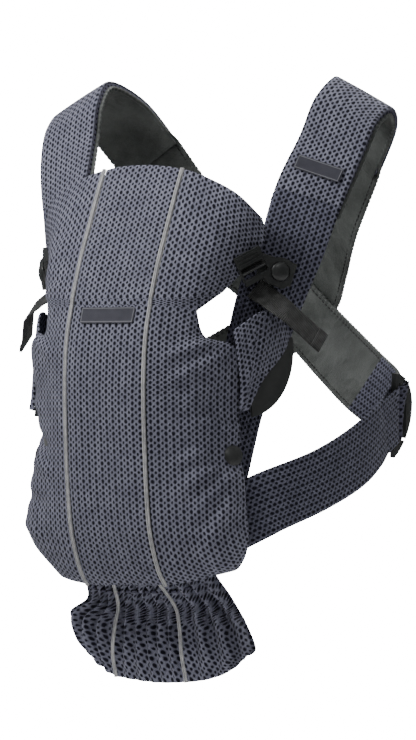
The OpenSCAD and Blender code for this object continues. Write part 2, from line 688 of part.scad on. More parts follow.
back_strap(-1);  // back_strap_left
cross_patch();
waist_strap(1);  // waist_strap_right
waist_strap(-1);  // waist_strap_left
back_loop(1);  // back_loop_right
back_loop(-1);  // back_loop_left
slider(1);  // slider_right
slider(-1);  // slider_left
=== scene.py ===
"""Looks of the soft baby carrier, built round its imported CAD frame.

Every soft piece repeats the CAD's control curves (in millimetres) and adds folds,
seams, piping, stitching and fabric. Hardware keeps its CAD shape.
"""
import math

import bpy
import numpy as np
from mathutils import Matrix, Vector


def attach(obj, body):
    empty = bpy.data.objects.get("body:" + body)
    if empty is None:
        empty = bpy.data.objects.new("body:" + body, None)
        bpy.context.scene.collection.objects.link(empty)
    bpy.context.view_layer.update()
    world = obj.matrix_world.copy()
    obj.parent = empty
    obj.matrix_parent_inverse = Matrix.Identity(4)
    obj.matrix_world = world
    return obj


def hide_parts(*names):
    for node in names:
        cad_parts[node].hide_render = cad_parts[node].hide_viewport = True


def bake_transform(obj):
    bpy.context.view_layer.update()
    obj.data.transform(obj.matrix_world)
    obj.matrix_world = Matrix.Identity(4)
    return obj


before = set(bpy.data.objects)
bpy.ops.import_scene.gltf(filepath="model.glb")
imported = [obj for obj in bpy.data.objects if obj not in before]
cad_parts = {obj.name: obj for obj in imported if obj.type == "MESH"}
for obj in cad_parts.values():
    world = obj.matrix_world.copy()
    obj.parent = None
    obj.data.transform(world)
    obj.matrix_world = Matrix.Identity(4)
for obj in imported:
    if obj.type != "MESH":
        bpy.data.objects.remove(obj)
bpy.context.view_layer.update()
MM = 0.001
BOTH = ((1, "right"), (-1, "left"))
EDGES = ((1, "outer"), (-1, "inner"))

# ------------------------------------------------------------------ camera
CAMERA_AZIMUTH = math.radians(33)
CAMERA_DISTANCE = 9.0
CAMERA_TARGET = Vector((-0.013, -0.009, -0.2713))
CAMERA_LENS = 437.8


def add_camera():
    data = bpy.data.cameras.new("camera")
    data.lens = CAMERA_LENS
    data.sensor_width = 36
    data.clip_end = 60
    cam = bpy.data.objects.new("camera", data)
    bpy.context.scene.collection.objects.link(cam)
    back = Vector((math.sin(CAMERA_AZIMUTH), -math.cos(CAMERA_AZIMUTH), 0))
    cam.location = CAMERA_TARGET + back * CAMERA_DISTANCE
    cam.rotation_euler = (-back).to_track_quat("-Z", "Y").to_euler()
    bpy.context.scene.camera = cam


add_camera()

# ------------------------------------------------- control points, as in the CAD
HALF_W = 46
POUCH = [
    [[0, -206, -208], [HALF_W, -204, -208], [70, -196, -209], [81, -190, -211], [88, -184, -214]],
    [[0, -214, -233], [HALF_W, -211, -233], [76, -197, -234], [87, -189, -236], [94, -178, -238]],
    [[0, -218, -262], [HALF_W, -215, -262], [86, -196, -260], [105, -177, -253], [117, -158, -250]],
    [[0, -219, -300], [HALF_W, -216, -300], [86, -194, -300], [104, -173, -300], [116, -152, -300]],
    [[0, -217, -345], [HALF_W, -214, -345], [88, -193, -345], [106, -173, -345], [118, -152, -345]],
    [[0, -212, -395], [HALF_W, -210, -395], [92, -193, -395], [114, -174, -395], [125, -155, -395]],
    [[0, -206, -432], [HALF_W, -204, -432], [94, -190, -432], [117, -172, -432], [128, -153, -430]],
    [[0, -192, -466], [HALF_W, -190, -466], [88, -178, -462], [108, -164, -456], [119, -148, -449]],
    [[0, -178, -483], [HALF_W, -176, -483], [79, -167, -478], [94, -157, -472], [105, -146, -464]],
]
HEAD = [
    [[0, -145, -69], [HALF_W, -146, -73], [80, -144, -84], [110, -141, -100], [128, -128, -122]],
    [[0, -158, -95], [HALF_W, -158, -97], [84, -154, -106], [113, -145, -122], [131, -126, -140]],
    [[0, -174, -128], [HALF_W, -173, -129], [86, -164, -134], [110, -147, -144], [121, -127, -158]],
    [[0, -190, -164], [HALF_W, -189, -164], [85, -177, -166], [102, -159, -170], [110, -140, -177]],
    [[0, -205, -202], [HALF_W, -203, -202], [78, -192, -201], [94, -178, -199], [103, -160, -195]],
]
WING = [
    [[103, -168, -243], [118, -150, -226], [127, -131, -214], [132, -112, -218], [134, -92, -236]],
    [[110, -164, -262], [120, -152, -250], [127, -140, -244], [131, -122, -246], [133, -102, -254]],
    [[117, -158, -290], [121, -154, -286], [124, -148, -282], [127, -141, -282], [130, -134, -282]],
    [[118, -157, -312], [120, -156, -312], [122, -155, -312], [124, -154, -312], [126, -152, -312]],
]
# The ruffle hangs unevenly: whole rows, from its gathered neck under the seat down to the hem
RUFFLE = [
    [[-62, -162, -478], [-48, -166, -480], [-34, -168, -481], [-20, -169, -481], [6, -170, -481],
     [34, -169, -481], [54, -166, -480], [72, -160, -477], [88, -151, -472]],
    [[-78, -130, -497], [-60, -138, -500], [-44, -142, -502], [-30, -144, -503], [4, -145, -503],
     [37, -144, -503], [60, -141, -502], [78, -136, -500], [93, -130, -497]],
    [[-105, -122, -512], [-84, -131, -517], [-60, -137, -521], [-35, -141, -523], [3, -142, -523],
     [40, -141, -523], [66, -137, -523], [89, -131, -521], [104, -124, -517]],
    [[-97, -121, -534], [-82, -131, -541], [-60, -138, -547], [-38, -142, -550], [4, -143, -551],
     [43, -142, -551], [71, -138, -550], [97, -131, -549], [116, -123, -545]],
    [[-84, -124, -549], [-70, -131, -560], [-54, -137, -569], [-37, -140, -575], [8, -141, -580],
     [46, -140, -579], [69, -136, -576], [89, -131, -569], [106, -125, -557]],
]
SEAT = [
    [[0, -172, -488], [40, -171, -488], [66, -162, -484]],
    [[0, -155, -491], [40, -154, -491], [64, -148, -485]],
    [[0, -134, -486], [40, -134, -486], [62, -134, -480]],
]
BELLY = [[-84, -146, -440], [-50, -132, -442], [0, -127, -443], [50, -132, -442], [84, -146, -440]]
STRAP = [
    [88, -159, -390], [104, -136, -307], [124, -106, -216], [138, -95, -160], [146, -73, -100],
    [157, -50, -50], [163, -30, -13], [166, 0, 4], [150, 42, -14], [122, 68, -58], [88, 93, -108],
    [54, 130, -154], [27, 158, -184], [0, 163, -208], [-27, 159, -231], [-60, 141, -254],
    [-106, 112, -282], [-148, 85, -302], [-166, 66, -311],
]
STRAP_EDGE = [
    [0.85, 0.52, 0], [0.45, 0.89, 0], [0.45, 0.88, -0.1], [0.73, 0.66, -0.15], [0.92, 0.35, -0.2],
    [0.95, 0.12, -0.28], [0.93, 0.12, -0.36], [0.88, 0.1, -0.46], [0.85, 0.07, -0.5],
    [0.62, 0.05, -0.78], [0.55, 0.1, -0.83], [0.55, 0.05, -0.83], [0.6, 0, -0.8], [0.66, 0, -0.75],
    [0.66, 0, -0.75], [0.6, -0.1, -0.8], [0.55, -0.2, -0.8], [0.3, -0.1, -0.92], [0.15, 0.2, -0.95],
]
WAIST = [
    [103, -152, -421], [137, -134, -402], [164, -82, -381], [176, -32, -359],
    [178, 12, -336], [172, 45, -320],
]
WAIST_EDGE = [
    [0, 0, -1], [0.05, 0.05, -1], [0, 0.3, -0.95], [0, 0.35, -0.94], [-0.1, 0.3, -0.93],
    [-0.15, 0.3, -0.94],
]
MESH_T = 3
STIFFENER_T = 2
SEW_GAP = 0.4
PIPING_R = 2
PIPING_LIFT = 0.3
COVER_T = 2.6
PAD_T = 5
LINING_T = 1.2
STRIP_T = 4
FRONT_W, SHOULDER_W, BACK_W = 62, 71, 62
WAIST_T, WAIST_W = 4, 62
BELLY_T, BELLY_W = 3, 66
CROSS_PATCH_W = 44
CROWN_FRONT, CROWN_BACK, CROSS_AT, STRAP_END = 4, 9, 13, 17.6
BACK_SWAY = -15
CROSS_GAP = 4.5
BACK_T = COVER_T + LINING_T
CROSS_LIFT = (BACK_T + CROSS_GAP) / 2


# --------------------------------------------------------------------- curves
def spline(a, b, c, d, f):
    """Catmull-Rom step from b to c, at f from 0 to 1."""
    square, cube = (2 * a - 5 * b + 4 * c - d) / 2, (3 * b - a - 3 * c + d) / 2
    return b + (c - a) * f / 2 + square * f * f + cube * f ** 3


def curve(points, t):
    """Catmull-Rom curve through points (first axis), as in the CAD."""
    p = np.asarray(points, float)
    t = np.asarray(t, float)
    last = len(p) - 1
    i = np.clip(np.floor(t), 0, last - 1).astype(int)
    f = (t - i)[..., None]
    a, b, c, d = p[np.maximum(i - 1, 0)], p[i], p[i + 1], p[np.minimum(i + 2, last)]
    return spline(a, b, c, d, f)


def unit(v):
    return v / np.maximum(np.linalg.norm(v, axis=-1, keepdims=True), 1e-12)


def smooth(t):
    c = np.clip(t, 0, 1)
    return c * c * (3 - 2 * c)


def full(rows):
    """Half rows mirrored to whole ones."""
    return np.array([[[-p[0], p[1], p[2]] for p in r[:0:-1]] + r for r in rows], float)


def on(surf, u, v):
    """Points of a surface at column u and row v, both grids of one shape."""
    surf = np.asarray(surf, float)
    shape = u.shape
    u, v = u.ravel(), v.ravel()
    rows = np.stack([curve(r, u) for r in surf])
    last = len(surf) - 1
    i = np.clip(np.floor(v), 0, last - 1).astype(int)
    f = (v - i)[:, None]
    k = np.arange(len(u))
    a, b = rows[np.maximum(i - 1, 0), k], rows[i, k]
    c, d = rows[i + 1, k], rows[np.minimum(i + 2, last), k]
    return spline(a, b, c, d, f).reshape(shape + (3,))


def normals(surf, u, v):
    e = 0.03
    last, cols = len(surf) - 1, len(surf[0]) - 1
    u0, u1 = np.maximum(u - e, 0), np.minimum(u + e, cols)
    v0, v1 = np.maximum(v - e, 0), np.minimum(v + e, last)
    return unit(np.cross(on(surf, u, v1) - on(surf, u, v0), on(surf, u1, v) - on(surf, u0, v)))


def steps(n, length, edge=2.5):
    """0 to 1 in about n even steps, with extra ones near the ends for a rounded edge."""
    near = np.array([0, 0.12, 0.4, 1.0]) * edge / length
    return np.concatenate([near, np.linspace(near[-1], 1 - near[-1], n + 1)[1:-1], 1 - near[::-1]])


def arc(points, axis):
    """Running length of a grid of points along one axis."""
    d = np.linalg.norm(np.diff(points, axis=axis), axis=-1)
    zero = np.zeros_like(np.take(d, [0], axis=axis))
    return np.concatenate([zero, np.cumsum(d, axis=axis)], axis=axis)


def running(path):
    """Running length of a line of points."""
    return arc(path[:, None], 0)[:, 0]


def edge_round(pos, radius, sides=(1, 1, 1, 1)):
    """0.15 at the chosen edges of a grid rising to 1 at radius inside it (top, bottom, left, right)."""
    down, across = arc(pos, 0), arc(pos, 1)
    far = 1e3
    d = np.minimum.reduce([
        down if sides[0] else down * 0 + far, down[-1:] - down if sides[1] else down * 0 + far,
        across if sides[2] else across * 0 + far, across[:, -1:] - across if sides[3] else across * 0 + far,
    ])
    x = np.clip(d / radius, 0, 1)
    return 0.15 + 0.85 * np.sqrt(np.maximum(1 - (1 - x) ** 2, 0))


# --------------------------------------------------------------------- meshes
def make(name, verts, faces, uvs, material):
    """Object from points in millimetres; uvs has a pair in metres for each vertex."""
    mesh = bpy.data.meshes.new(name)
    mesh.from_pydata((np.asarray(verts) * MM).tolist(), [], faces)
    layer = mesh.uv_layers.new(name="weave")
    index = np.empty(len(mesh.loops), int)
    mesh.loops.foreach_get("vertex_index", index)
    layer.data.foreach_set("uv", np.asarray(uvs, float)[index].astype(np.float32).ravel())
    mesh.polygons.foreach_set("use_smooth", [True] * len(mesh.polygons))
    mesh.materials.append(material)
    obj = bpy.data.objects.new(name, mesh)
    bpy.context.scene.collection.objects.link(obj)
    return obj


def shell(name, top, bottom, uv, material, flip=False):
    """Closed piece between two grids of points."""
    rows, cols = top.shape[:2]
    n = rows * cols
    k = np.arange(n).reshape(rows, cols)
    quads = np.stack([k[:-1, :-1], k[:-1, 1:], k[1:, 1:], k[1:, :-1]], -1).reshape(-1, 4)
    faces = quads.tolist() + (quads[:, ::-1] + n).tolist()
    for line, turn in ((k[0], 0), (k[-1], 1), (k[:, 0], 1), (k[:, -1], 0)):
        for a, b in zip(line[:-1], line[1:]):
            rim = [a, a + n, b + n, b]
            faces.append(rim[::-1] if turn else rim)
    if flip:
        faces = [f[::-1] for f in faces]
    verts = np.concatenate([top.reshape(-1, 3), bottom.reshape(-1, 3)])
    uvs = np.concatenate([uv.reshape(-1, 2)] * 2)
    return make(name, verts, faces, uvs, material)


def weave_uv(pos):
    across, down = arc(pos, 1), arc(pos, 0)
    mean_down = down.mean(axis=1, keepdims=True)
    return np.stack([across, np.broadcast_to(mean_down, across.shape)], -1) * MM


def panel(name, surf, span, rows, depth, material, wrinkle=None, counts=(40, 90), radius=2.5, side=1,
          sides=(1, 1, 1, 1), weave_end=None):
    """Fabric panel over part of a surface.

    span and rows are column and row limits, depth is (low, high), sides says which edges are
    rounded, and weave_end is the weave's place at the last row, in millimetres.
    """
    size = np.linalg.norm(on(surf, np.array([span[1]]), np.array([np.mean(rows)]))
                          - on(surf, np.array([span[0]]), np.array([np.mean(rows)])))
    height = np.linalg.norm(on(surf, np.array([np.mean(span)]), np.array([rows[1]]))
                            - on(surf, np.array([np.mean(span)]), np.array([rows[0]])))
    s, t = steps(counts[0], size, radius), steps(counts[1], height, radius)
    u, v = np.meshgrid(span[0] + (span[1] - span[0]) * s, rows[0] + (rows[1] - rows[0]) * t)
    pos, nrm = on(surf, u, v), normals(surf, u, v)
    uv = weave_uv(pos)
    if weave_end is not None:
        uv = uv + [0, weave_end * MM - uv[-1, 0, 1]]
    if wrinkle is not None:
        pos = pos + nrm * wrinkle(u, v, pos)[..., None]
    low, high = depth
    mid = (low + high) / 2
    half = (high - low) / 2 * edge_round(pos, radius, sides)[..., None]
    top, bottom = pos + nrm * (mid + half), pos + nrm * (mid - half)
    if side < 0:
        top, bottom = top * [-1, 1, 1], bottom * [-1, 1, 1]
        uv = uv * [-1, 1]
    return shell(name, top, bottom, uv, material, flip=side < 0)


CORD_ROUND = 0.0125   # metres of weave once round a cord


def tube(name, centres, radii, material, sides=14, flat=1.0, normal=None, lobes=0.0, side=1):
    """Round cord through centres; lobes pinches its middle into two, as a double cord."""
    c = np.asarray(centres, float)
    if side < 0:
        c = c * [-1, 1, 1]
        normal = None if normal is None else np.asarray(normal) * [-1, 1, 1]
    d = unit(np.gradient(c, axis=0))
    n = np.asarray(normal, float) if normal is not None else np.tile([0.0, 0.0, 1.0], (len(c), 1))
    n = unit(n - d * (n * d).sum(-1, keepdims=True))
    x = np.cross(d, n)
    a = np.linspace(0, 2 * math.pi, sides, endpoint=False)
    r = np.broadcast_to(np.asarray(radii, float), (len(c),))[:, None, None]
    shape = (1 - lobes * np.exp(-((np.abs(np.sin(a)) - 1) / 0.12) ** 2))[None, :, None]
    ring = x[:, None] * np.cos(a)[None, :, None] + n[:, None] * (np.sin(a) * flat)[None, :, None]
    verts = (c[:, None] + ring * r * shape).reshape(-1, 3)
    m, k = len(c), sides
    faces = [[i * k + j, i * k + (j + 1) % k, (i + 1) * k + (j + 1) % k, (i + 1) * k + j]
             for i in range(m - 1) for j in range(k)]
    faces = [f[::-1] for f in faces]
    faces += [list(range(k)), [(m - 1) * k + j for j in range(k - 1, -1, -1)]]
    uv = np.stack(np.meshgrid(np.arange(k) / k * CORD_ROUND, running(c) * MM), -1).reshape(-1, 2)
    return make(name, verts, faces, uv, material)


# ------------------------------------------------------------------- materials
class Net:
    """A material's nodes, with short calls for the ones used here."""

    def __init__(self, name, roughness, sheen=0.0, coat=0.0, specular=0.5):
        self.mat = bpy.data.materials.new(name)
        self.mat.use_nodes = True
        self.tree = self.mat.node_tree
        self.tree.nodes.clear()
        out = self.new("OutputMaterial")
        self.bsdf = self.new("BsdfPrincipled")
        self.tree.links.new(self.bsdf.outputs[0], out.inputs[0])
        for socket, value in (("Roughness", roughness), ("Sheen Weight", sheen), ("Sheen Roughness", 0.5),
                              ("Coat Weight", coat), ("Specular IOR Level", specular)):
            self.bsdf.inputs[socket].default_value = value

    def new(self, kind):
        return self.tree.nodes.new("ShaderNode" + kind)

    def put(self, socket, value):
        if isinstance(value, bpy.types.NodeSocket):
            self.tree.links.new(value, socket)
        elif value is not None:
            socket.default_value = value

    def math(self, op, a, b=None, clamp=False):
        n = self.new("Math")
        n.operation = op
        n.use_clamp = clamp
        self.put(n.inputs[0], a)
        self.put(n.inputs[1], b)
        return n.outputs[0]

    def mul(self, a, b):
        return self.math("MULTIPLY", a, b)

    def add(self, a, b, clamp=False):
        return self.math("ADD", a, b, clamp)

    def sub(self, a, b):
        return self.math("SUBTRACT", a, b)

    def ramp(self, value, low, high, a=0.0, b=1.0):
        n = self.new("MapRange")
        n.interpolation_type = "SMOOTHSTEP"
        for socket, v in zip(n.inputs[:5], (value, low, high, a, b)):
            self.put(socket, v)
        return n.outputs[0]

    def mix(self, factor, a, b):
        n = self.new("Mix")
        n.data_type = "RGBA"
        self.put(n.inputs[0], factor)
        self.put(n.inputs[6], (*a, 1) if isinstance(a, tuple) else a)
        self.put(n.inputs[7], (*b, 1) if isinstance(b, tuple) else b)
        return n.outputs[2]

    def noise(self, scale, detail=2.0, vector=None):
        n = self.new("TexNoise")
        n.inputs["Scale"].default_value = scale
        n.inputs["Detail"].default_value = detail
        self.put(n.inputs["Vector"], vector if vector is not None else self.place())
        return n.outputs["Fac"]

    def place(self):
        return self.new("TexCoord").outputs["Object"]

    def weave(self):
        """The piece's own cloth coordinates, in millimetres: across and along."""
        n = self.new("UVMap")
        n.uv_map = "weave"
        s = self.new("SeparateXYZ")
        self.put(s.inputs[0], n.outputs[0])
        return self.mul(s.outputs[0], 1000), self.mul(s.outputs[1], 1000)

    def ripple(self, value, period):
        return self.math("SINE", self.mul(value, 2 * math.pi / period))

    def oval(self, x, y, px, py, rx, ry, shift):
        """Distance to the nearest centre of a lattice of ovals: 1 on their outlines."""
        parts = []
        for value, period, radius in ((x, px, rx), (y, py, ry)):
            f = self.math("FRACT", self.add(self.math("DIVIDE", value, period), shift))
            f = self.mul(self.sub(f, 0.5), period / radius)
            parts.append(self.mul(f, f))
        return self.math("SQRT", self.add(parts[0], parts[1]))

    def finish(self, colour, height=None, distance=0.0004, strength=0.6):
        self.put(self.bsdf.inputs["Base Color"], (*colour, 1) if isinstance(colour, tuple) else colour)
        if height is not None:
            b = self.new("Bump")
            b.inputs["Strength"].default_value = strength
            b.inputs["Distance"].default_value = distance
            self.put(b.inputs["Height"], height)
            self.put(self.bsdf.inputs["Normal"], b.outputs[0])
        return self.mat


HOLE_PITCH = (7.5, 5.9)
BIG_HOLE, SMALL_HOLE = (1.45, 1.9), (1.05, 1.3)


def mesh_fabric(name, light, dark, hole_backing_and_shade, hole=1.0):
    """Spacer mesh: big oval holes with small round ones between them, over a dark backing. The holes' colour
    deepens the backing into painted shade of their depth, and the yarn is painted darker towards each hole's
    rim as shade.
    """
    net = Net(name, 0.8, sheen=0.08, specular=0.2)
    x, y = net.weave()
    wobble = net.mul(net.sub(net.noise(260, 1), 0.5), 1.5)
    x, y = net.add(x, wobble), net.add(y, wobble)
    big = net.oval(x, y, *HOLE_PITCH, BIG_HOLE[0] * hole, BIG_HOLE[1] * hole, 0.0)
    small = net.oval(x, y, *HOLE_PITCH, SMALL_HOLE[0] * hole, SMALL_HOLE[1] * hole, 0.5)
    d = net.math("MINIMUM", big, small)
    open_ = net.ramp(d, 0.72, 1.12, 1.0, 0.0)
    knit = net.mul(net.ripple(y, 1.2), net.ripple(x, 1.6))
    tone = net.add(net.mul(knit, 0.2),
                    net.add(net.mul(net.noise(60, 3), 0.5), 0.2), clamp=True)
    yarn = net.mix(net.ramp(tone, 0.0, 0.8), dark, light)
    # painted shade: the yarn darkens towards each hole's rim
    yarn = net.mix(net.ramp(d, 1.0, 1.6, 0.6, 0.0), yarn, dark)
    # the holes take the backing's colour, near black as painted shade of their depth
    colour = net.mix(open_, yarn, hole_backing_and_shade)
    height = net.add(net.ramp(d, 0.5, 1.5), net.mul(knit, 0.1))
    return net.finish(colour, height, 0.0011, 0.75)


def plain_cloth(name, light, dark, roughness, sheen, crinkle=0.35, thread=0.9, size=48):
    """Closely woven cloth with a fine thread and soft crinkles; its colour is painted lighter on the
    crinkles' crests and darker in their hollows, as painted highlight and shade.
    """
    net = Net(name, roughness, sheen=sheen, specular=0.35)
    x, y = net.weave()
    threads = net.add(net.ripple(x, thread), net.ripple(y, thread * 0.8))
    crinkles = net.noise(size, 3)
    fine = net.noise(900, 1)
    # painted highlight and shade: the colour follows the crinkles of the bump
    tone = net.add(net.mul(crinkles, 0.7), net.mul(fine, 0.3))
    colour = net.mix(net.ramp(tone, 0.3, 0.7), dark, light)
    height = net.add(net.mul(threads, 0.03), net.mul(crinkles, crinkle))
    return net.finish(colour, height, 0.004, 0.5)


def webbing_cloth(name, light, dark):
    """Flat webbing with ribs across it and a firm edge on each side."""
    net = Net(name, 0.62, sheen=0.15, specular=0.35)
    x, y = net.weave()
    rib = net.ripple(y, 1.5)
    column = net.ripple(x, 1.1)
    height = net.add(net.mul(rib, 0.35), net.mul(column, 0.12))
    # painted highlight and shade: the colour follows the rib height, lighter on the crests and darker between
    # them, plus random tone
    tone = net.add(net.mul(height, 0.6), net.noise(120, 2))
    colour = net.mix(net.ramp(tone, 0.2, 0.9), dark, light)
    return net.finish(colour, height, 0.0007, 0.9)


def cord_cloth(name, light, dark):
    """Satin piping: slanting threads and a stitched line along its middle."""
    net = Net(name, 0.5, sheen=0.2, specular=0.4)
    x, y = net.weave()
    twist = net.ripple(net.add(y, net.mul(x, 0.6)), 1.6)
    stitch = net.mul(net.ripple(y, 3.2), 0.3)
    tone = net.add(net.mul(twist, 0.15), net.noise(150, 2))
    colour = net.mix(net.ramp(tone, 0.2, 0.75), dark, light)
    off_middle = net.math("ABSOLUTE", net.sub(x, CORD_ROUND / MM / 4))
    middle = net.ramp(off_middle, 0.25, 0.8, 1.0, 0.0)
    colour = net.mix(net.mul(middle, 0.75), colour, (0.12, 0.12, 0.13))
    return net.finish(colour, net.add(twist, stitch), 0.0004, 0.5)


def plastic(name, light, dark, roughness=0.42):
    """Moulded plastic with a fine spark-eroded grain and slightly rubbed high spots."""
    net = Net(name, roughness, coat=0.05, specular=0.5)
    grain = net.noise(1400, 2)
    tone = net.add(net.mul(net.noise(22, 3), 0.8), net.mul(grain, 0.2))
    net.put(net.bsdf.inputs["Roughness"], net.ramp(tone, 0.2, 0.8, roughness - 0.06, roughness + 0.1))
    return net.finish(net.mix(net.ramp(tone, 0.3, 0.7), dark, light), grain, 0.0002, 0.25)


def label_cloth(name, width, height):
    """Blank woven patch, dark inside a lighter woven border; the border's lightness also paints the highlight
    on its raised rim.
    """
    net = Net(name, 0.55, sheen=0.1, specular=0.3)
    x, y = net.weave()
    inset = net.math("MINIMUM", net.sub(width / 2, net.math("ABSOLUTE", x)),
                     net.sub(height / 2, net.math("ABSOLUTE", y)))
    border = net.ramp(net.math("ABSOLUTE", net.sub(inset, 1.3)), 0.2, 0.6, 1.0, 0.0)
    threads = net.add(net.ripple(x, 0.7), net.ripple(y, 0.5))
    colour = net.mix(net.noise(90, 2), (0.045, 0.046, 0.062), (0.085, 0.086, 0.11))
    # painted highlight: the lighter border also stands for light on the raised rim
    colour = net.mix(net.mul(border, 0.7), colour, (0.3, 0.3, 0.33))
    return net.finish(colour, threads, 0.0003, 0.5)


def foam(name):
    net = Net(name, 0.9, specular=0.2)
    cells = net.noise(1500, 2)
    colour = net.mix(net.ramp(cells, 0.3, 0.7), (0.5, 0.5, 0.47), (0.72, 0.72, 0.68))
    return net.finish(colour, cells, 0.0004, 0.5)


def pale(name, colour):
    net = Net(name, 0.9, specular=0.1)
    return net.finish(net.mix(net.ramp(net.noise(3, 2), 0.3, 0.7), colour, colour), None)


MESH = mesh_fabric("mesh_fabric", (0.34, 0.345, 0.435), (0.10, 0.102, 0.145), (0.004, 0.004, 0.012), 1.1)
# Dimmer copy of the same mesh: painted shade for the front strips, waist straps, sleeves and waist loops
MESH_STRIP_SHADED = mesh_fabric("mesh_strip_shaded", (0.22, 0.225, 0.3), (0.07, 0.072, 0.108), (0.004, 0.004, 0.012), 1.12)
# Darkest copy of the same mesh: painted shade for mesh lying in shadow (seat, strap walls, back loops,
# gussets)
MESH_PAINTED_SHADE = mesh_fabric("mesh_shade", (0.15, 0.15, 0.21), (0.05, 0.05, 0.08), (0.004, 0.004, 0.011))
LINING = plain_cloth("lining_cloth", (0.05, 0.052, 0.052), (0.025, 0.026, 0.028), 0.85, 0.3)
SATIN = plain_cloth("satin_cloth", (0.12, 0.13, 0.123), (0.05, 0.056, 0.052), 0.33, 0.08,
                    crinkle=5.0, size=26)
SATIN_DARK = plain_cloth("satin_edge", (0.075, 0.08, 0.076), (0.035, 0.038, 0.036), 0.5, 0.15)
PIPING = cord_cloth("piping_cloth", (0.64, 0.64, 0.64), (0.36, 0.36, 0.37))
WEBBING = webbing_cloth("webbing_cloth", (0.075, 0.078, 0.075), (0.008, 0.008, 0.008))
PLASTIC = plastic("moulded_plastic", (0.05, 0.053, 0.052), (0.028, 0.03, 0.03), 0.34)
STITCH = plain_cloth("satin_stitch", (0.02, 0.021, 0.02), (0.008, 0.008, 0.008), 0.6, 0.1)
THREAD = plain_cloth("thread", (0.17, 0.17, 0.2), (0.09, 0.09, 0.11), 0.6, 0.2)
FOAM = foam("foam")


# ------------------------------------------------------------------------ folds
def run_length(surf, u, v0, v1):
    """Length of a surface's column u between two rows."""
    v = np.linspace(v0, v1, 60)
    return running(on(surf, np.full(60, float(u)), v))[-1]


def ridge(x, y, x0, y0, x1, y1, width, height):
    """Soft ridge between two places on a cloth: fades at both ends."""
    dx, dy = x1 - x0, y1 - y0
    length = math.hypot(dx, dy)
    along = ((x - x0) * dx + (y - y0) * dy) / length ** 2
    off = ((x - x0) * dy - (y - y0) * dx) / length
    fade = smooth(along * 3 + 0.4) * smooth((1 - along) * 2)
    return height * np.exp(-(off / width) ** 2) * fade


# How far each side of the pouch bulges or draws in near its edge, by height
LEFT_Z = [-466, -426, -381, -345, -320, -297, -275, -250, -225, -208]
LEFT_OUT = [-2, 2, 3, 1, 3, 4, 5, 7, 7, 4]
RIGHT_Z = [-484, -474, -460, -446, -424]
RIGHT_OUT = [0, 4, 7, 5, 0]


def pouch_folds(side):
    """Folds of the pouch, in millimetres of X (away from the middle) and Z."""
    right = [
        (124, -352, 70, -398, 7, 4.0), (124, -362, 84, -428, 6, 3.4), (122, -345, 62, -366, 6, 2.8),
        (124, -372, 104, -446, 6, 2.8), (112, -256, 62, -290, 6, 3.2), (112, -262, 74, -322, 7, 2.6),
        (100, -246, 56, -262, 5, 2.4), (122, -330, 82, -318, 6, 2.0), (124, -392, 92, -462, 6, 2.0),
    ]
    left = [
        (118, -330, 72, -352, 8, -4.5), (118, -350, 60, -380, 8, 3.5), (124, -395, 76, -404, 7, -3.0),
        (104, -240, 60, -262, 6, 2.2), (120, -300, 80, -312, 7, 2.4), (124, -420, 84, -440, 7, 2.2),
    ]

    def folds(u, v, pos):
        x, z = np.abs(pos[..., 0]), pos[..., 2]
        h = 1.3 * sum(ridge(x, z, *r) for r in (right if side > 0 else left))
        h = h + 0.5 * np.sin(z / 9.0 + x / 14.0) * smooth((x - 60) / 40)
        snap = 1 - np.exp(-(np.hypot(x - 114, z + 355) / 17) ** 4)
        h = h * smooth((x - 52) / 14) * snap - 1.0 * (1 - snap)
        bulge = (LEFT_Z, LEFT_OUT) if side < 0 else (RIGHT_Z, RIGHT_OUT)
        return h + np.interp(z, *bulge) * smooth((x - 84) / 24)

    return folds


def centre_folds(u, v, pos):
    x, z = pos[..., 0], pos[..., 2]
    seam = np.minimum(np.abs(x - HALF_W), np.abs(x + HALF_W))
    return 1.2 * (1 - np.exp(-(seam / 9) ** 2)) - 0.6 + 0.5 * np.sin(z / 17.0 + x / 30.0)


def head_folds(u, v, pos):
    x, z = np.abs(pos[..., 0]), pos[..., 2]
    fan = [(106, -186, 62, -128, 7, 2.4), (106, -190, 60, -160, 6, 2.2), (108, -180, 84, -110, 7, 1.8),
           (100, -196, 58, -186, 5, 1.8), (112, -172, 104, -118, 6, 1.4)]
    return sum(ridge(x, z, *r) for r in fan) * smooth((x - 50) / 12)


# ----------------------------------------------------------------- pouch and head
pouch, head, ruffle_surf = full(POUCH), full(HEAD), np.array(RUFFLE, float)
C = 4
SEAM = (PIPING_R + SEW_GAP) / HALF_W
SIDE_COLUMN_W = 36
SEAM_OUT = (PIPING_R + SEW_GAP) / SIDE_COLUMN_W


def dress(obj, body, node, slot, form=None, **facts):
    """Hides the CAD part a piece replaces and ties the piece to a body given by name; given anything else as
    body, it fixes the piece where it is. The slot is not used.
    """
    if node:
        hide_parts(node)
    if isinstance(body, str):
        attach(obj, body)
    else:
        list(body)
        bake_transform(obj)
    return obj


# The soft fold between the head support and the pouch
NECK_FROM, NECK_TO = (0, -0.205, -0.209), (0, -0.205, -0.201)
neck = np.stack([head[3] * 0.1 + head[4] * 0.9, head[4], (head[4] + pouch[0]) / 2, pouch[0],
                 pouch[0] * 0.9 + pouch[1] * 0.1])
NECK_RUN = run_length(neck, C, 1, 3)

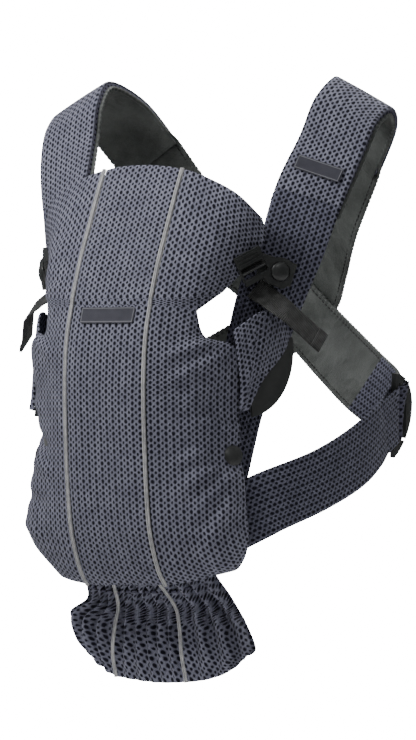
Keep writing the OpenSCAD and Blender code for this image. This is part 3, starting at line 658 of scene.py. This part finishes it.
dress(panel("pouch_centre", pouch, (C - 1 + SEAM, C + 1 - SEAM), (0, 8), (-MESH_T, 0), MESH, centre_folds,
            (44, 130), sides=(0, 1, 0, 0)), "harness", "centre_panel", "mesh")
dress(panel("head_centre", head, (C - 1 + SEAM, C + 1 - SEAM), (0, 4), (-MESH_T, 0), MESH, centre_folds,
            (44, 70), sides=(1, 0, 0, 0), weave_end=-NECK_RUN), "head_support", "head_centre_panel", "mesh")
for s, name in BOTH:
    piece = panel("pouch_side_" + name, pouch, (C + 1 + SEAM_OUT, C + 4), (0, 8), (-MESH_T, 0), MESH,
                  pouch_folds(s), (60, 150), side=s, sides=(0, 1, 0, 1))
    dress(piece, "harness", "side_panel_" + name, "mesh")
    piece = panel("head_side_" + name, head, (C + 1 + SEAM_OUT, C + 4), (0, 4), (-MESH_T, 0), MESH,
                  head_folds, (60, 90), side=s, sides=(1, 0, 0, 1), weave_end=-NECK_RUN)
    dress(piece, "head_support", "head_side_" + name, "mesh")

lining_hi = -MESH_T - 3 * SEW_GAP
foam_hi = -MESH_T - 2 * SEW_GAP
head_hi = -MESH_T - STIFFENER_T - 5 * SEW_GAP
dress(panel("pouch_back", pouch, (0.2, 7.8), (0.05, 7.95), (lining_hi - LINING_T, lining_hi), LINING,
            None, (70, 70), radius=1.5), "harness", "pouch_lining", "lining")
dress(panel("head_back", head, (0.2, 7.8), (0.1, 3.9), (head_hi - LINING_T, head_hi), LINING,
            None, (60, 40), radius=1.5), "head_support", "head_lining", "lining")
dress(panel("head_foam", head, (1.4, 6.6), (0.2, 3.6), (foam_hi - STIFFENER_T, foam_hi), FOAM, None,
            (30, 20), radius=1.0), "head_support", "head_stiffener", "foam", "padded", fill=0.9)


def cord_path(surf, u, v0, v1, lift, n):
    v = np.linspace(v0, v1, n)
    uu = np.full(n, u, float)
    nrm = normals(surf, uu, v)
    return on(surf, uu, v) + nrm * lift, nrm


for s, name in BOTH:
    for label, surf, last, body in (("pouch", pouch, 8, "harness"), ("head", head, 4, "head_support")):
        path, nrm = cord_path(surf, C + 1, 0, last, PIPING_LIFT, 10 * last)
        dress(tube(f"{label}_cord_{name}", path, 2.1, PIPING, flat=0.9, normal=nrm, lobes=0.22, side=s),
              body, f"{label}_piping_{name}", "piping")


def neck_folds(side):
    def folds(u, v, pos):
        w = smooth((v - 1) / 2)
        return head_folds(u, v, pos) * (1 - w) + pouch_folds(side)(u, v, pos) * w

    return folds


NECK = ("harness", "head_support", NECK_FROM, NECK_TO)
dress(panel("neck_fold_centre", neck, (C - 1, C + 1), (0.9, 3.1), (-MESH_T, 0), MESH, centre_folds,
            (44, 8), 0.6, sides=(0, 0, 0, 0), weave_end=0), NECK, None, "mesh")
dress(panel("neck_lining", neck, (0.5, 7.5), (0.6, 3.4), (lining_hi - LINING_T, lining_hi), LINING, None,
            (60, 8), 0.6, sides=(0, 0, 1, 1)), NECK, None, "lining")
for s, name in BOTH:
    dress(panel("neck_fold_" + name, neck, (C + 1, C + 3.95), (0.9, 3.1), (-MESH_T, 0), MESH,
                neck_folds(s), (60, 8), 0.6, side=s, sides=(0, 0, 0, 1), weave_end=0), NECK, None, "mesh")
for s, name in BOTH:
    path, nrm = cord_path(neck, C + 1, 0.8, 3.2, PIPING_LIFT, 16)
    dress(tube("neck_cord_" + name, path, 2.0, PIPING, flat=0.9, normal=nrm, lobes=0.22, side=s),
          NECK, None, "piping")


def stitches(name, path, normal, body, material=THREAD, pitch=3.2, length=2.2, radius=0.28, side=1):
    """Row of raised stitches along a path, sunk halfway into the cloth."""
    path, normal = np.asarray(path, float), np.asarray(normal, float)
    run = running(path)
    verts, faces, uvs = [], [], []
    for start in np.arange(0.4, run[-1] - length, pitch):
        at = np.array([start, start + length * 0.25, start + length * 0.75, start + length])
        c = np.stack([np.interp(at, run, path[:, k]) for k in range(3)], -1)
        n = unit(np.stack([np.interp(at, run, normal[:, k]) for k in range(3)], -1))
        d = unit(np.gradient(c, axis=0))
        x = unit(np.cross(d, n))
        c = c + n * np.array([-0.12, 0.12, 0.12, -0.12])[:, None]
        base = len(verts)
        for p, a, b in zip(c, x, n):
            for q in range(6):
                w = q * math.pi / 3
                verts.append(p + (a * math.cos(w) + b * math.sin(w)) * radius)
                uvs.append((q * 0.0005, start * MM))
        for i in range(3):
            for j in range(6):
                k = (j + 1) % 6
                faces.append([base + i * 6 + j, base + i * 6 + k, base + i * 6 + 6 + k, base + i * 6 + 6 + j])
        faces += [[base + j for j in range(5, -1, -1)], [base + 18 + j for j in range(6)]]
    verts = np.array(verts)
    if side < 0:
        verts = verts * [-1, 1, 1]
        faces = [f[::-1] for f in faces]
    obj = make(name, verts, faces, uvs, material)
    return dress(obj, body, None, "mesh")


# ------------------------------------------------------------------- patches
LABEL_T = 1.0


def patch(name, size, node, lay):
    """Blank woven patch with rounded corners and a raised border; lay gives its places and normals."""
    half = np.array(size) / 2
    s, t = steps(30, size[0], 1.5), steps(10, size[1], 1.5)
    x, y = np.meshgrid((s * 2 - 1) * half[0], (t * 2 - 1) * half[1])
    corner = 2.5
    over = np.hypot(np.maximum(np.abs(x) - half[0] + corner, 0), np.maximum(np.abs(y) - half[1] + corner, 0))
    pull = np.where(over > corner, corner / np.maximum(over, 1e-6), 1)
    x, y = (np.sign(q) * np.where(over > corner, h - corner + (np.abs(q) - h + corner) * pull, np.abs(q))
            for q, h in ((x, half[0]), (y, half[1])))
    border = np.minimum(half[0] - np.abs(x), half[1] - np.abs(y))
    raise_ = 0.35 * np.exp(-((border - 1.0) / 0.7) ** 2)
    pos, nrm = lay(x, y)
    top = pos + nrm * (LABEL_T + raise_)[..., None]
    uv = np.stack([x, y], -1) * MM
    cloth = label_cloth(name + "_cloth", *size)
    dress(shell(name, top, pos + nrm * 0.05, uv, cloth), "harness", node, "label_patch")


def on_pouch(x, y):
    u = C + x / HALF_W
    v = 0.15 + (7.5 - y) / 25
    pos, nrm = on(pouch, u, v), normals(pouch, u, v)
    return pos + nrm * (centre_folds(u, v, pos)[..., None] + 0.25), nrm


patch("pouch_patch", (60, 15), "pouch_label", on_pouch)


# --------------------------------------------------------------------- straps
def sway(p, s):
    """Moves points sideways the farther back they are, the other way on the left."""
    p = np.asarray(p, float).copy()
    p[..., 0] = p[..., 0] + s * BACK_SWAY * np.maximum(p[..., 1], 0) / STRAP[CROSS_AT][1]
    return p


def path_frame(path, edge, t, s):
    """Place, across, outward normal and direction at t along a strap."""
    pts = sway(path, s)
    last, e = len(path) - 1, 0.02
    place = curve(pts, t)
    d = unit(curve(pts, np.minimum(t + e, last)) - curve(pts, np.maximum(t - e, 0)))
    n = unit(np.cross(curve(edge, t), d))
    return place, np.cross(d, n), n, d


def strap_half(t):
    """Half the strap's width along its run."""
    front = FRONT_W + (SHOULDER_W - FRONT_W) * smooth((t - 2.5) / 2)
    back = SHOULDER_W + (BACK_W - SHOULDER_W) * smooth((t - 8) / 2)
    return np.where(t < 7, front, back) / 2


def cross_lift(t, s):
    return s * CROSS_LIFT * smooth(1.5 - np.abs(t - CROSS_AT) / 2)


PUCKER_PITCH = 6.2


def band(name, frames, half, depth, material, side=1, columns=18, radius=2.0, pucker=0.0, crown=0.0,
         wave=None, ends=(1, 1), trim=0.0):
    """Flat strap lofted along frames, with rounded edges, puckers and a crowned middle."""
    place, across, nrm, _ = frames
    half = np.broadcast_to(np.asarray(half, float), (len(place),)) - trim
    s = steps(columns, 2 * half.mean(), radius) * 2 - 1
    base = place[:, None] + across[:, None] * (half[:, None] * s)[..., None]
    along = arc(place[:, None], 0)
    edge = np.exp(-((1 - np.abs(s)) * half.mean() / 4.5) ** 2)[None, :]
    lift = crown * (1 - s[None, :] ** 2)
    lift = lift + pucker * edge * np.sin(along * 2 * math.pi / PUCKER_PITCH + s[None, :] * 1.3)
    if wave is not None:
        lift = lift + wave(along, s[None, :] * half[:, None])
    normal = np.broadcast_to(nrm[:, None], base.shape)
    low, high = depth
    mid, thick = (low + high) / 2, (high - low) / 2
    swell = edge_round(base, radius, (ends[0], ends[1], 1, 1))
    top = base + normal * (mid + thick * swell + lift)[..., None]
    bottom = base + normal * (mid - thick * swell + np.minimum(lift, 0) * 0.5)[..., None]
    uv = np.stack([s[None, :] * half[:, None], np.broadcast_to(along, (len(place), len(s)))], -1) * MM
    if side < 0:
        top, bottom = top * [-1, 1, 1], bottom * [-1, 1, 1]
    return shell(name, top, bottom, uv, material, flip=side < 0)


def strap_frames(t, s):
    place, across, n, d = path_frame(STRAP, STRAP_EDGE, t, s)
    return place + n * cross_lift(t, s)[:, None], across, n, d


def soft_wave(seed, size):
    rng = np.random.default_rng(seed)
    terms = [(rng.uniform(0.03, 0.09), rng.uniform(-0.06, 0.06), rng.uniform(0, 6.3)) for _ in range(5)]
    return lambda a, x: size * sum(np.sin(a * p + x * q + r) for p, q, r in terms) / 5


def edge_path(t, s, out, lift):
    place, across, n, _ = strap_frames(t, s)
    return place + across * (strap_half(t) * out)[:, None] + n * lift, n


for s, name in BOTH:
    t = np.linspace(0.2, CROWN_FRONT - 0.02, 120)
    dress(band("strip_" + name, strap_frames(t, s), strap_half(t), (-STRIP_T, 0), MESH_STRIP_SHADED, s, 20,
               ends=(1, 0)), "harness", "front_strip_" + name, "mesh")
    t = np.linspace(CROWN_FRONT - 0.025, CROWN_BACK, 150)
    dress(band("cover_" + name, strap_frames(t, s), strap_half(t), (-COVER_T, 0), MESH, s, 24, crown=0.8,
               ends=(0, 0)), "harness", "shoulder_cover_" + name, "mesh")
    pad_t = np.linspace(4.2, 8.8, 80)
    hi = -COVER_T - SEW_GAP
    dress(band("pad_" + name, strap_frames(pad_t, s), strap_half(pad_t), (hi - PAD_T, hi), FOAM, s, 12,
               trim=1.5), "harness", "shoulder_pad_" + name, "foam", "padded", fill=0.8)
    hi = -COVER_T - PAD_T - 2 * SEW_GAP
    piece = band("inner_" + name, strap_frames(t, s), strap_half(t), (hi - LINING_T - 0.4, hi), SATIN, s,
                 24, pucker=0.8, wave=soft_wave(3, 1.6), ends=(1, 0))
    dress(piece, "harness", "shoulder_lining_" + name, "lining")
    t = np.linspace(CROWN_BACK - 0.01, STRAP_END, 320)
    dress(band("back_" + name, strap_frames(t, s), strap_half(t), (-BACK_T, 0), SATIN, s, 26,
               pucker=1.3, wave=soft_wave(5, 2.0), trim=0.5), "harness", "back_strap_" + name, "satin")
    for out, edge in EDGES:
        t = np.linspace(CROWN_FRONT - 0.2, STRAP_END - 0.1, 460)
        path, n = edge_path(t, s, out * 0.985, -2.2)
        depth = np.where(t < CROWN_BACK, -6.5 * smooth((CROWN_BACK - t) * 3), 0)
        path = path + n * depth[:, None]
        run = running(path)
        radius = 1.6 + 0.9 * np.abs(np.sin(run * math.pi / 5.5))
        rope = tube(f"rope_{edge}_{name}", path, radius, SATIN, sides=10, normal=n, side=s)
        dress(rope, "harness", None, "satin")
        path, n = edge_path(t, s, out * 0.89, -BACK_T - 0.1)
        path = path + n * depth[:, None] * 0.75
        stitches(f"stitch_{edge}_a_{name}", path, -n, "harness", STITCH, 5.5, 3.6, 0.6, side=s)

SLEEVE_OUT = 1.1

# Mesh sleeve on the last of each back strap, and the soft gusset from each front strip to the pouch; both are
# coloured with darker copies of the mesh as painted shade
for s, name in BOTH:
    t = np.linspace(16.15, STRAP_END - 0.05, 60)
    piece = band("sleeve_" + name, strap_frames(t, s), strap_half(t) + 0.6,
                 (-BACK_T - SLEEVE_OUT, SLEEVE_OUT), MESH_STRIP_SHADED, s, 26, pucker=0.5,
                 wave=soft_wave(9, 1.2))
    dress(piece, "harness", None, "mesh")
    t = np.linspace(1.2, 3.0, 60)
    place, across, n, d = path_frame(STRAP, STRAP_EDGE, t, s)
    wide = 6.5 * np.sin(np.linspace(0.12, math.pi - 0.12, 60))
    frames = (place - across * (strap_half(t) + wide - 1.5)[:, None] - n * 1.5, across, n, d)
    dress(band("gusset_" + name, frames, wide, (-1, 1), MESH_PAINTED_SHADE, s, 8, radius=0.8), "harness", None, "mesh")

# The wall of the padded strap between cover and lining, coloured with the darkest mesh as painted shade
for s, name in BOTH:
    t = np.linspace(CROWN_FRONT + 0.02, CROWN_BACK - 0.05, 150)
    for out, edge in EDGES:
        place, across, n, d = strap_frames(t, s)
        at = place + across * ((strap_half(t) - 1.6) * out)[:, None] + n * (-5.2)
        frames = (at, n, across * out, d)
        dress(band(f"wall_{edge}_{name}", frames, 4.4, (-0.8, 0.8), MESH_PAINTED_SHADE, s, 4, radius=0.8),
              "harness", None, "mesh")

PATCH_AT, PATCH_LIFT = 4.5, 2.0


def on_strap(x, y):
    place, across, n, d = [v[0] for v in path_frame(STRAP, STRAP_EDGE, np.array([PATCH_AT]), 1)]
    pos = place + n * PATCH_LIFT + x[..., None] * across + y[..., None] * d
    return pos, np.broadcast_to(n, x.shape + (3,))


patch("strap_patch", (50, 15), "strap_label", on_strap)

# Cross patch over the back straps
crossing = path_frame(STRAP, STRAP_EDGE, np.array([float(CROSS_AT)]), 1)[0][0]
centre = crossing + np.array([0, 1, 0]) * (CROSS_LIFT + SEW_GAP)
x45, y45 = unit(np.array([1.0, 0, 1.0])), unit(np.array([-1.0, 0, 1.0]))
row = (steps(20, CROSS_PATCH_W, 1.5) * 2 - 1) * CROSS_PATCH_W / 2
gx, gy = np.meshgrid(row, row)
pillow = 0.9 * np.exp(-((np.maximum(np.abs(gx), np.abs(gy)) - 19) / 2.2) ** 2)
base = centre + gx[..., None] * x45 + gy[..., None] * y45
out = np.array([0.0, 1.0, 0.0])
dress(shell("cross_cloth", base + out * (1.6 - pillow)[..., None], base, np.stack([gx, gy], -1) * MM, SATIN,
            flip=True), "harness", "cross_patch", "satin")
corners = [np.array(c, float) for c in ((-18, -18), (18, -18), (18, 18), (-18, 18), (-18, -18))]
square = np.concatenate([np.linspace(a, b, 20, endpoint=False) for a, b in zip(corners[:-1], corners[1:])])
path = centre + square[:, :1] * x45 + square[:, 1:] * y45 + out * 1.2
stitches("stitch_cross", path, np.tile(out, (len(path), 1)), "harness", SATIN_DARK)


# -------------------------------------------------------------- waist and sliders
SLIDER_AT, SLIDER_ALONG, SLIDER_OUT = [175, 63, -312], [0, 0.95, 0.3], [0.97, 0.05, -0.2]
MID_BAR_Y, BAR_W, SLOT_W = -2, 5, 6
FRONT_BAR_Y = MID_BAR_Y - BAR_W - SLOT_W
WAIST_END = 4.5
LOOP_T = 1.4


def slider_frame(s):
    d = unit(np.array(SLIDER_ALONG, float))
    n = np.array(SLIDER_OUT, float)
    n = unit(n - d * (n @ d))
    return sway(SLIDER_AT, s), np.cross(d, n), n, d


def loop_band(name, start, close, normal, loop, loop_n, legs, half, material, s):
    """Cloth from start round a bar, along loop, and back to close."""
    place = np.concatenate([np.linspace(start, loop[0], legs)[:-1], loop,
                            np.linspace(loop[-1], close, legs)[1:]])
    nrm = np.concatenate([np.tile(normal, (legs - 1, 1)), loop_n, np.tile(-normal, (legs - 1, 1))])
    for _ in range(2):
        nrm[1:-1] = unit(nrm[:-2] + nrm[1:-1] * 2 + nrm[2:])
    d = unit(np.gradient(place, axis=0))
    nrm = unit(nrm - d * (nrm * d).sum(-1, keepdims=True))
    return band(name, (place, np.cross(d, nrm), nrm, d), half, (-LOOP_T / 2, LOOP_T / 2), material, s, 12,
                radius=0.7, ends=(0, 0))


for s, name in BOTH:
    t = np.linspace(0, WAIST_END, 160)
    frames = path_frame(WAIST, WAIST_EDGE, t, s)
    dress(band("waist_" + name, frames, WAIST_W / 2, (-WAIST_T, 0), MESH_STRIP_SHADED, s, 22, crown=0.8), "harness",
          "waist_strap_" + name, "mesh")
    o, x, z, y = slider_frame(s)
    end, _, end_n, end_d = [v[0] for v in path_frame(WAIST, WAIST_EDGE, np.array([WAIST_END]), s)]
    bar = o + y * FRONT_BAR_Y
    r = BAR_W / 2 + 1.5
    turn = np.radians(np.linspace(90, -90, 18))
    loop = bar + z * (np.sin(turn) * r)[:, None] + y * (np.cos(turn) * r)[:, None]
    loop_n = z * np.sin(turn)[:, None] + y * np.cos(turn)[:, None]
    start, close = end - end_n * 0.8 - end_d * 8, end - end_n * 3.2 - end_d * 8
    piece = loop_band("waist_loop_" + name, start, close, end_n, loop, loop_n, 10, 29.5, MESH_STRIP_SHADED, s)
    away = np.array([s, 1, 1])
    dress(piece, ("harness", "slider_" + name, tuple((start * away * MM).tolist()),
                  tuple(((bar - y * 3) * away * MM).tolist())), None, "satin")
    # back strap's sewn loop round the middle bar: the far strap ends here, so its mirror image is used
    bar = o + y * MID_BAR_Y
    end, _, end_n, _ = [v[0] * [-1, 1, 1] for v in strap_frames(np.array([STRAP_END - 0.12]), s)]
    turn = turn[::-1]
    r = BAR_W / 2 + 1.15
    loop = bar + z * (np.sin(turn) * r)[:, None] - y * (np.cos(turn) * r)[:, None]
    loop_n = z * np.sin(turn)[:, None] - y * np.cos(turn)[:, None]
    start, close = end - end_n * 3.4, end - end_n * 0.4
    # painted shade: the loop uses the darkest copy of the mesh
    piece = loop_band("back_loop_cloth_" + name, start, close, -end_n, loop, loop_n, 8, 28.5, MESH_PAINTED_SHADE, s)
    dress(piece, "harness", "back_loop_" + name, "satin")

# ------------------------------------------------------------ seat, belly, wings
# painted shade: the seat, under the pouch, uses the darkest copy of the mesh
dress(panel("seat", full(SEAT), (0.02, 3.98), (0.8, 2), (-MESH_T, 0), MESH_PAINTED_SHADE, None, (40, 24)),
      "harness", "seat_panel", "mesh")
frames = path_frame(BELLY, [[0, 0, -1]] * 5, np.linspace(0, 4, 80), 1)
dress(band("belly", frames, BELLY_W / 2, (-BELLY_T / 2, BELLY_T / 2), LINING, 1, 16, crown=0.5),
      "harness", "belly_band", "satin")

WING_HI = 5.2
CREASE = np.array([1.86, 2.14])
wing = np.array(WING, float)


def wing_folds(u, v, pos):
    return 0.8 * np.sin(u * 2.6 + v * 1.4) * smooth(v / 1.2) - 1.4 * np.exp(-((u - 2) / 0.25) ** 2) * 0.3


for s, name in BOTH:
    for part, span, body, node in (("front", (0.62, CREASE[0]), "harness", "wing_root_"),
                                   ("rear", (CREASE[1], 4), "wing_" + name, "wing_flap_")):
        piece = panel(f"wing_{part}_{name}", wing, span, (0, 3), (WING_HI - MESH_T, WING_HI), MESH,
                      wing_folds, (24, 50), side=s, radius=1.8)
        dress(piece, body, node + name, "mesh")
    crease = panel("wing_crease_" + name, wing, (CREASE[0] - 0.02, CREASE[1] + 0.02), (0.03, 2.97),
                   (WING_HI - MESH_T + 0.4, WING_HI - 0.1), MESH, None, (6, 50), side=s, radius=0.3,
                   sides=(1, 1, 0, 0))
    c = on(wing, CREASE, np.array([1.5, 1.5])) * [s, 1, 1] * MM
    dress(crease, ("harness", "wing_" + name, tuple(c[0].tolist()), tuple(c[1].tolist())), None, "mesh")


# ---------------------------------------------------------------------- ruffle
def ruffle_folds(u, v, pos):
    d = np.abs(u - C)
    pleat = 2 * math.pi * np.where(d < 1, 3 * d, 3 + 1.25 * (d - 1))
    hole_backing_and_shade = np.interp(v, [0, 1, 2, 3, 3.5, 4], [2.4, 4.0, 4.6, 3.6, 2.2, 1.4])
    wide = 1 + 0.5 * smooth(d - 1.2)
    gathers = hole_backing_and_shade * wide * np.cos(pleat + 0.5 * np.sin(v * 1.3 + u))
    fine = 0.7 * np.cos(pleat * 2.4) * smooth(1.4 - v)
    hem = -0.9 * np.exp(-((v - 3.62) / 0.04) ** 2)
    return -4 + gathers + fine + hem


RUFFLE_TOP = ("harness", "ruffle", (0, -0.168, -0.482), (0, -0.146, -0.502))
RUFFLE_DEPTH = (-1.4, 1.4)
dress(panel("ruffle_cloth", ruffle_surf, (0, 8), (1, 4), RUFFLE_DEPTH, MESH, ruffle_folds, (220, 70),
            radius=2.0, sides=(0, 1, 1, 1)), "ruffle", "ruffle", "mesh")
dress(panel("ruffle_neck", ruffle_surf, (0, 8), (0, 1), RUFFLE_DEPTH, MESH, ruffle_folds, (220, 14),
            radius=2.0, sides=(0, 0, 1, 1), weave_end=0), RUFFLE_TOP, None, "mesh")
for s, name in BOTH:
    for part, v0, v1, body, node in (("cord", 1, 4, "ruffle", "ruffle_pipings"),
                                     ("neck_cord", 0, 1, RUFFLE_TOP, None)):
        v = np.linspace(v0, v1, 60)
        u = np.full(60, C + s * 1.0)
        nrm = normals(ruffle_surf, u, v)
        path = on(ruffle_surf, u, v)
        path = path + nrm * (ruffle_folds(u, v, path) + 2.0)[:, None]
        cord = tube(f"ruffle_{part}_{name}", path, 1.9, PIPING, flat=0.8, normal=nrm, lobes=0.2)
        dress(cord, body, node, "piping")

# --------------------------------------------------------- webbing and hardware
BUCKLE_AT, BUCKLE_IN = 2.7, -9
SOCKET_TOP = 12
PLATE_Z = SOCKET_TOP + 2 * SEW_GAP
WEB_T, WEB_W = 1.6, 25
WEB_Z = PLATE_Z - WEB_T - SEW_GAP
TAIL_LEN, TAIL_ANGLE, TAIL_FROM = 84, -24, (-18, -21)
TAIL_LIFT, TAIL_RISE, TAIL_TILT = 22, 0.45, 34
LADDER_AT, LADDER_ANGLE = (-26, -5.5), -46
PATCH_W, PATCH_T = 38, 1.2


def buckle_frame(s):
    place, across, n, d = [v[0] for v in path_frame(STRAP, STRAP_EDGE, np.array([BUCKLE_AT]), s)]
    return place + across * BUCKLE_IN, across, n, d


def to_buckle(s, pts):
    o, x, z, y = buckle_frame(s)
    pts = np.asarray(pts, float)
    return o + pts[..., :1] * x + pts[..., 1:2] * y + pts[..., 2:] * z


def heading(a):
    """Direction in the buckle's plane at an angle in degrees."""
    return np.array([math.cos(math.radians(a)), math.sin(math.radians(a)), 0.0])


def web_band(name, pts, wdir, s, body, node):
    """Webbing through points in the buckle's frame; wdir runs across it."""
    _, x, z, y = buckle_frame(s)
    place = to_buckle(s, pts)
    d = unit(np.gradient(place, axis=0))
    a = np.asarray(wdir, float) @ np.stack([x, y, z])
    a = unit(a - d * (a * d).sum(-1, keepdims=True))
    n = -np.cross(a, d)
    frames = (place, np.cross(d, n), n, d)
    dress(band(name, frames, WEB_W / 2, (-WEB_T, 0), WEBBING, s, 10, radius=0.7), body, node, "webbing")


for s, name in BOTH:
    q = np.linspace(0, 1, 60)
    along = heading(TAIL_ANGLE)
    pts = np.stack([TAIL_FROM[0] + along[0] * TAIL_LEN * q, TAIL_FROM[1] + along[1] * TAIL_LEN * q,
                    WEB_Z + TAIL_LIFT * smooth((q - 0.02) / TAIL_RISE)], -1)
    tilt = np.radians(TAIL_TILT * smooth(q / 0.2))
    wdir = heading(TAIL_ANGLE + 90) * np.cos(tilt)[:, None] - np.array([0, 0, 1.0]) * np.sin(tilt)[:, None]
    web_band("tail_" + name, pts, wdir, s, "tail_" + name, "webbing_tail_" + name)
    # folded and stitched end
    k = q > 0.86
    web_band("tail_fold_" + name, pts[k] + np.array([0, 0, WEB_T]), wdir[k], s, "tail_" + name, None)
    pts = np.array([*LADDER_AT, WEB_Z]) + heading(LADDER_ANGLE) * np.linspace(-9, 0, 12)[:, None]
    web_band("head_web_" + name, pts, np.tile(heading(LADDER_ANGLE + 90), (12, 1)), s, "head_support",
             "head_webbing_" + name)
    # sewn patch under the buckle's socket
    t = np.linspace(BUCKLE_AT - 0.22, BUCKLE_AT + 0.22, 20)
    place, across, n, d = path_frame(STRAP, STRAP_EDGE, t, s)
    frames = (place + across * BUCKLE_IN, across, n, d)
    dress(band("buckle_cloth_" + name, frames, PATCH_W / 2, (SEW_GAP, SEW_GAP + PATCH_T), SATIN_DARK, s, 12,
               radius=1.0), "harness", "buckle_patch_" + name, "satin")


def soften(node, width):
    """Rounds a moulded part's sharp edges for the render and gives it its plastic."""
    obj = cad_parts[node]
    for slot in obj.material_slots:
        slot.material = PLASTIC
    if not obj.material_slots:
        obj.data.materials.append(PLASTIC)
    bevel = obj.modifiers.new("edges", "BEVEL")
    bevel.width = width * MM
    bevel.segments = 3
    bevel.limit_method = "ANGLE"
    bevel.angle_limit = math.radians(40)
    bevel.harden_normals = True


MOULDED = {"buckle_plate": 0.9, "release_button": 0.3, "buckle_base": 0.5, "clasp_leaf": 0.8,
           "clasp_base": 0.5, "snap_cap": 0.4, "snap_stud": 0.4, "slider": 1.2}
for _, name in BOTH:
    for node, width in MOULDED.items():
        soften(f"{node}_{name}", width)

# ---------------------------------------------------------------- floor and light
FLOOR_Z = -0.7
FLOOR_COLOUR = (0.86, 0.86, 0.86)
BACKDROP = 20.0   # strength that the camera sees as plain white
WHITE = (1, 1, 1, 1)
# Ambient light by height of direction: lowest and highest direction, strength at each
AMBIENT = (-0.4, 0.9, 0.02, 0.32)
bpy.ops.mesh.primitive_circle_add(vertices=96, radius=1.2, fill_type="NGON", location=(0, 0, FLOOR_Z))
floor = bpy.context.object
floor.name = "floor"
floor.data.materials.append(pale("floor", FLOOR_COLOUR))


def area_light(name, place, size, power, target=(0, -0.05, -0.27)):
    data = bpy.data.lights.new(name, "AREA")
    data.shape = "DISK"
    data.size = size
    data.energy = power
    lamp = bpy.data.objects.new(name, data)
    lamp.location = place
    lamp.rotation_euler = (Vector(target) - Vector(place)).to_track_quat("-Z", "Y").to_euler()
    bpy.context.scene.collection.objects.link(lamp)


area_light("key", (-0.42, -0.76, 0.62), 0.35, 10, (0, -0.1, -0.1))
area_light("front", (-0.9, -2.2, 1.2), 1.2, 7)
area_light("fill", (1.5, -1.6, 1.1), 0.7, 4.5, (0.12, -0.1, -0.1))
area_light("top", (0.3, 1.1, 1.5), 1.2, 26)
world = bpy.data.worlds.new("studio")
world.use_nodes = True
tree = world.node_tree
ambient = tree.nodes["Background"]
ambient.inputs[0].default_value = WHITE
direction = tree.nodes.new("ShaderNodeSeparateXYZ")
tree.links.new(tree.nodes.new("ShaderNodeTexCoord").outputs["Generated"], direction.inputs[0])
above = tree.nodes.new("ShaderNodeMapRange")
for k, value in enumerate(AMBIENT):
    above.inputs[k + 1].default_value = value
tree.links.new(direction.outputs["Z"], above.inputs[0])
tree.links.new(above.outputs[0], ambient.inputs[1])
backdrop = tree.nodes.new("ShaderNodeBackground")
backdrop.inputs[1].default_value = BACKDROP
backdrop.inputs[0].default_value = WHITE
seen = tree.nodes.new("ShaderNodeMixShader")
tree.links.new(tree.nodes.new("ShaderNodeLightPath").outputs["Is Camera Ray"], seen.inputs[0])
tree.links.new(ambient.outputs[0], seen.inputs[1])
tree.links.new(backdrop.outputs[0], seen.inputs[2])
tree.links.new(seen.outputs[0], tree.nodes["World Output"].inputs[0])
bpy.context.scene.world = world
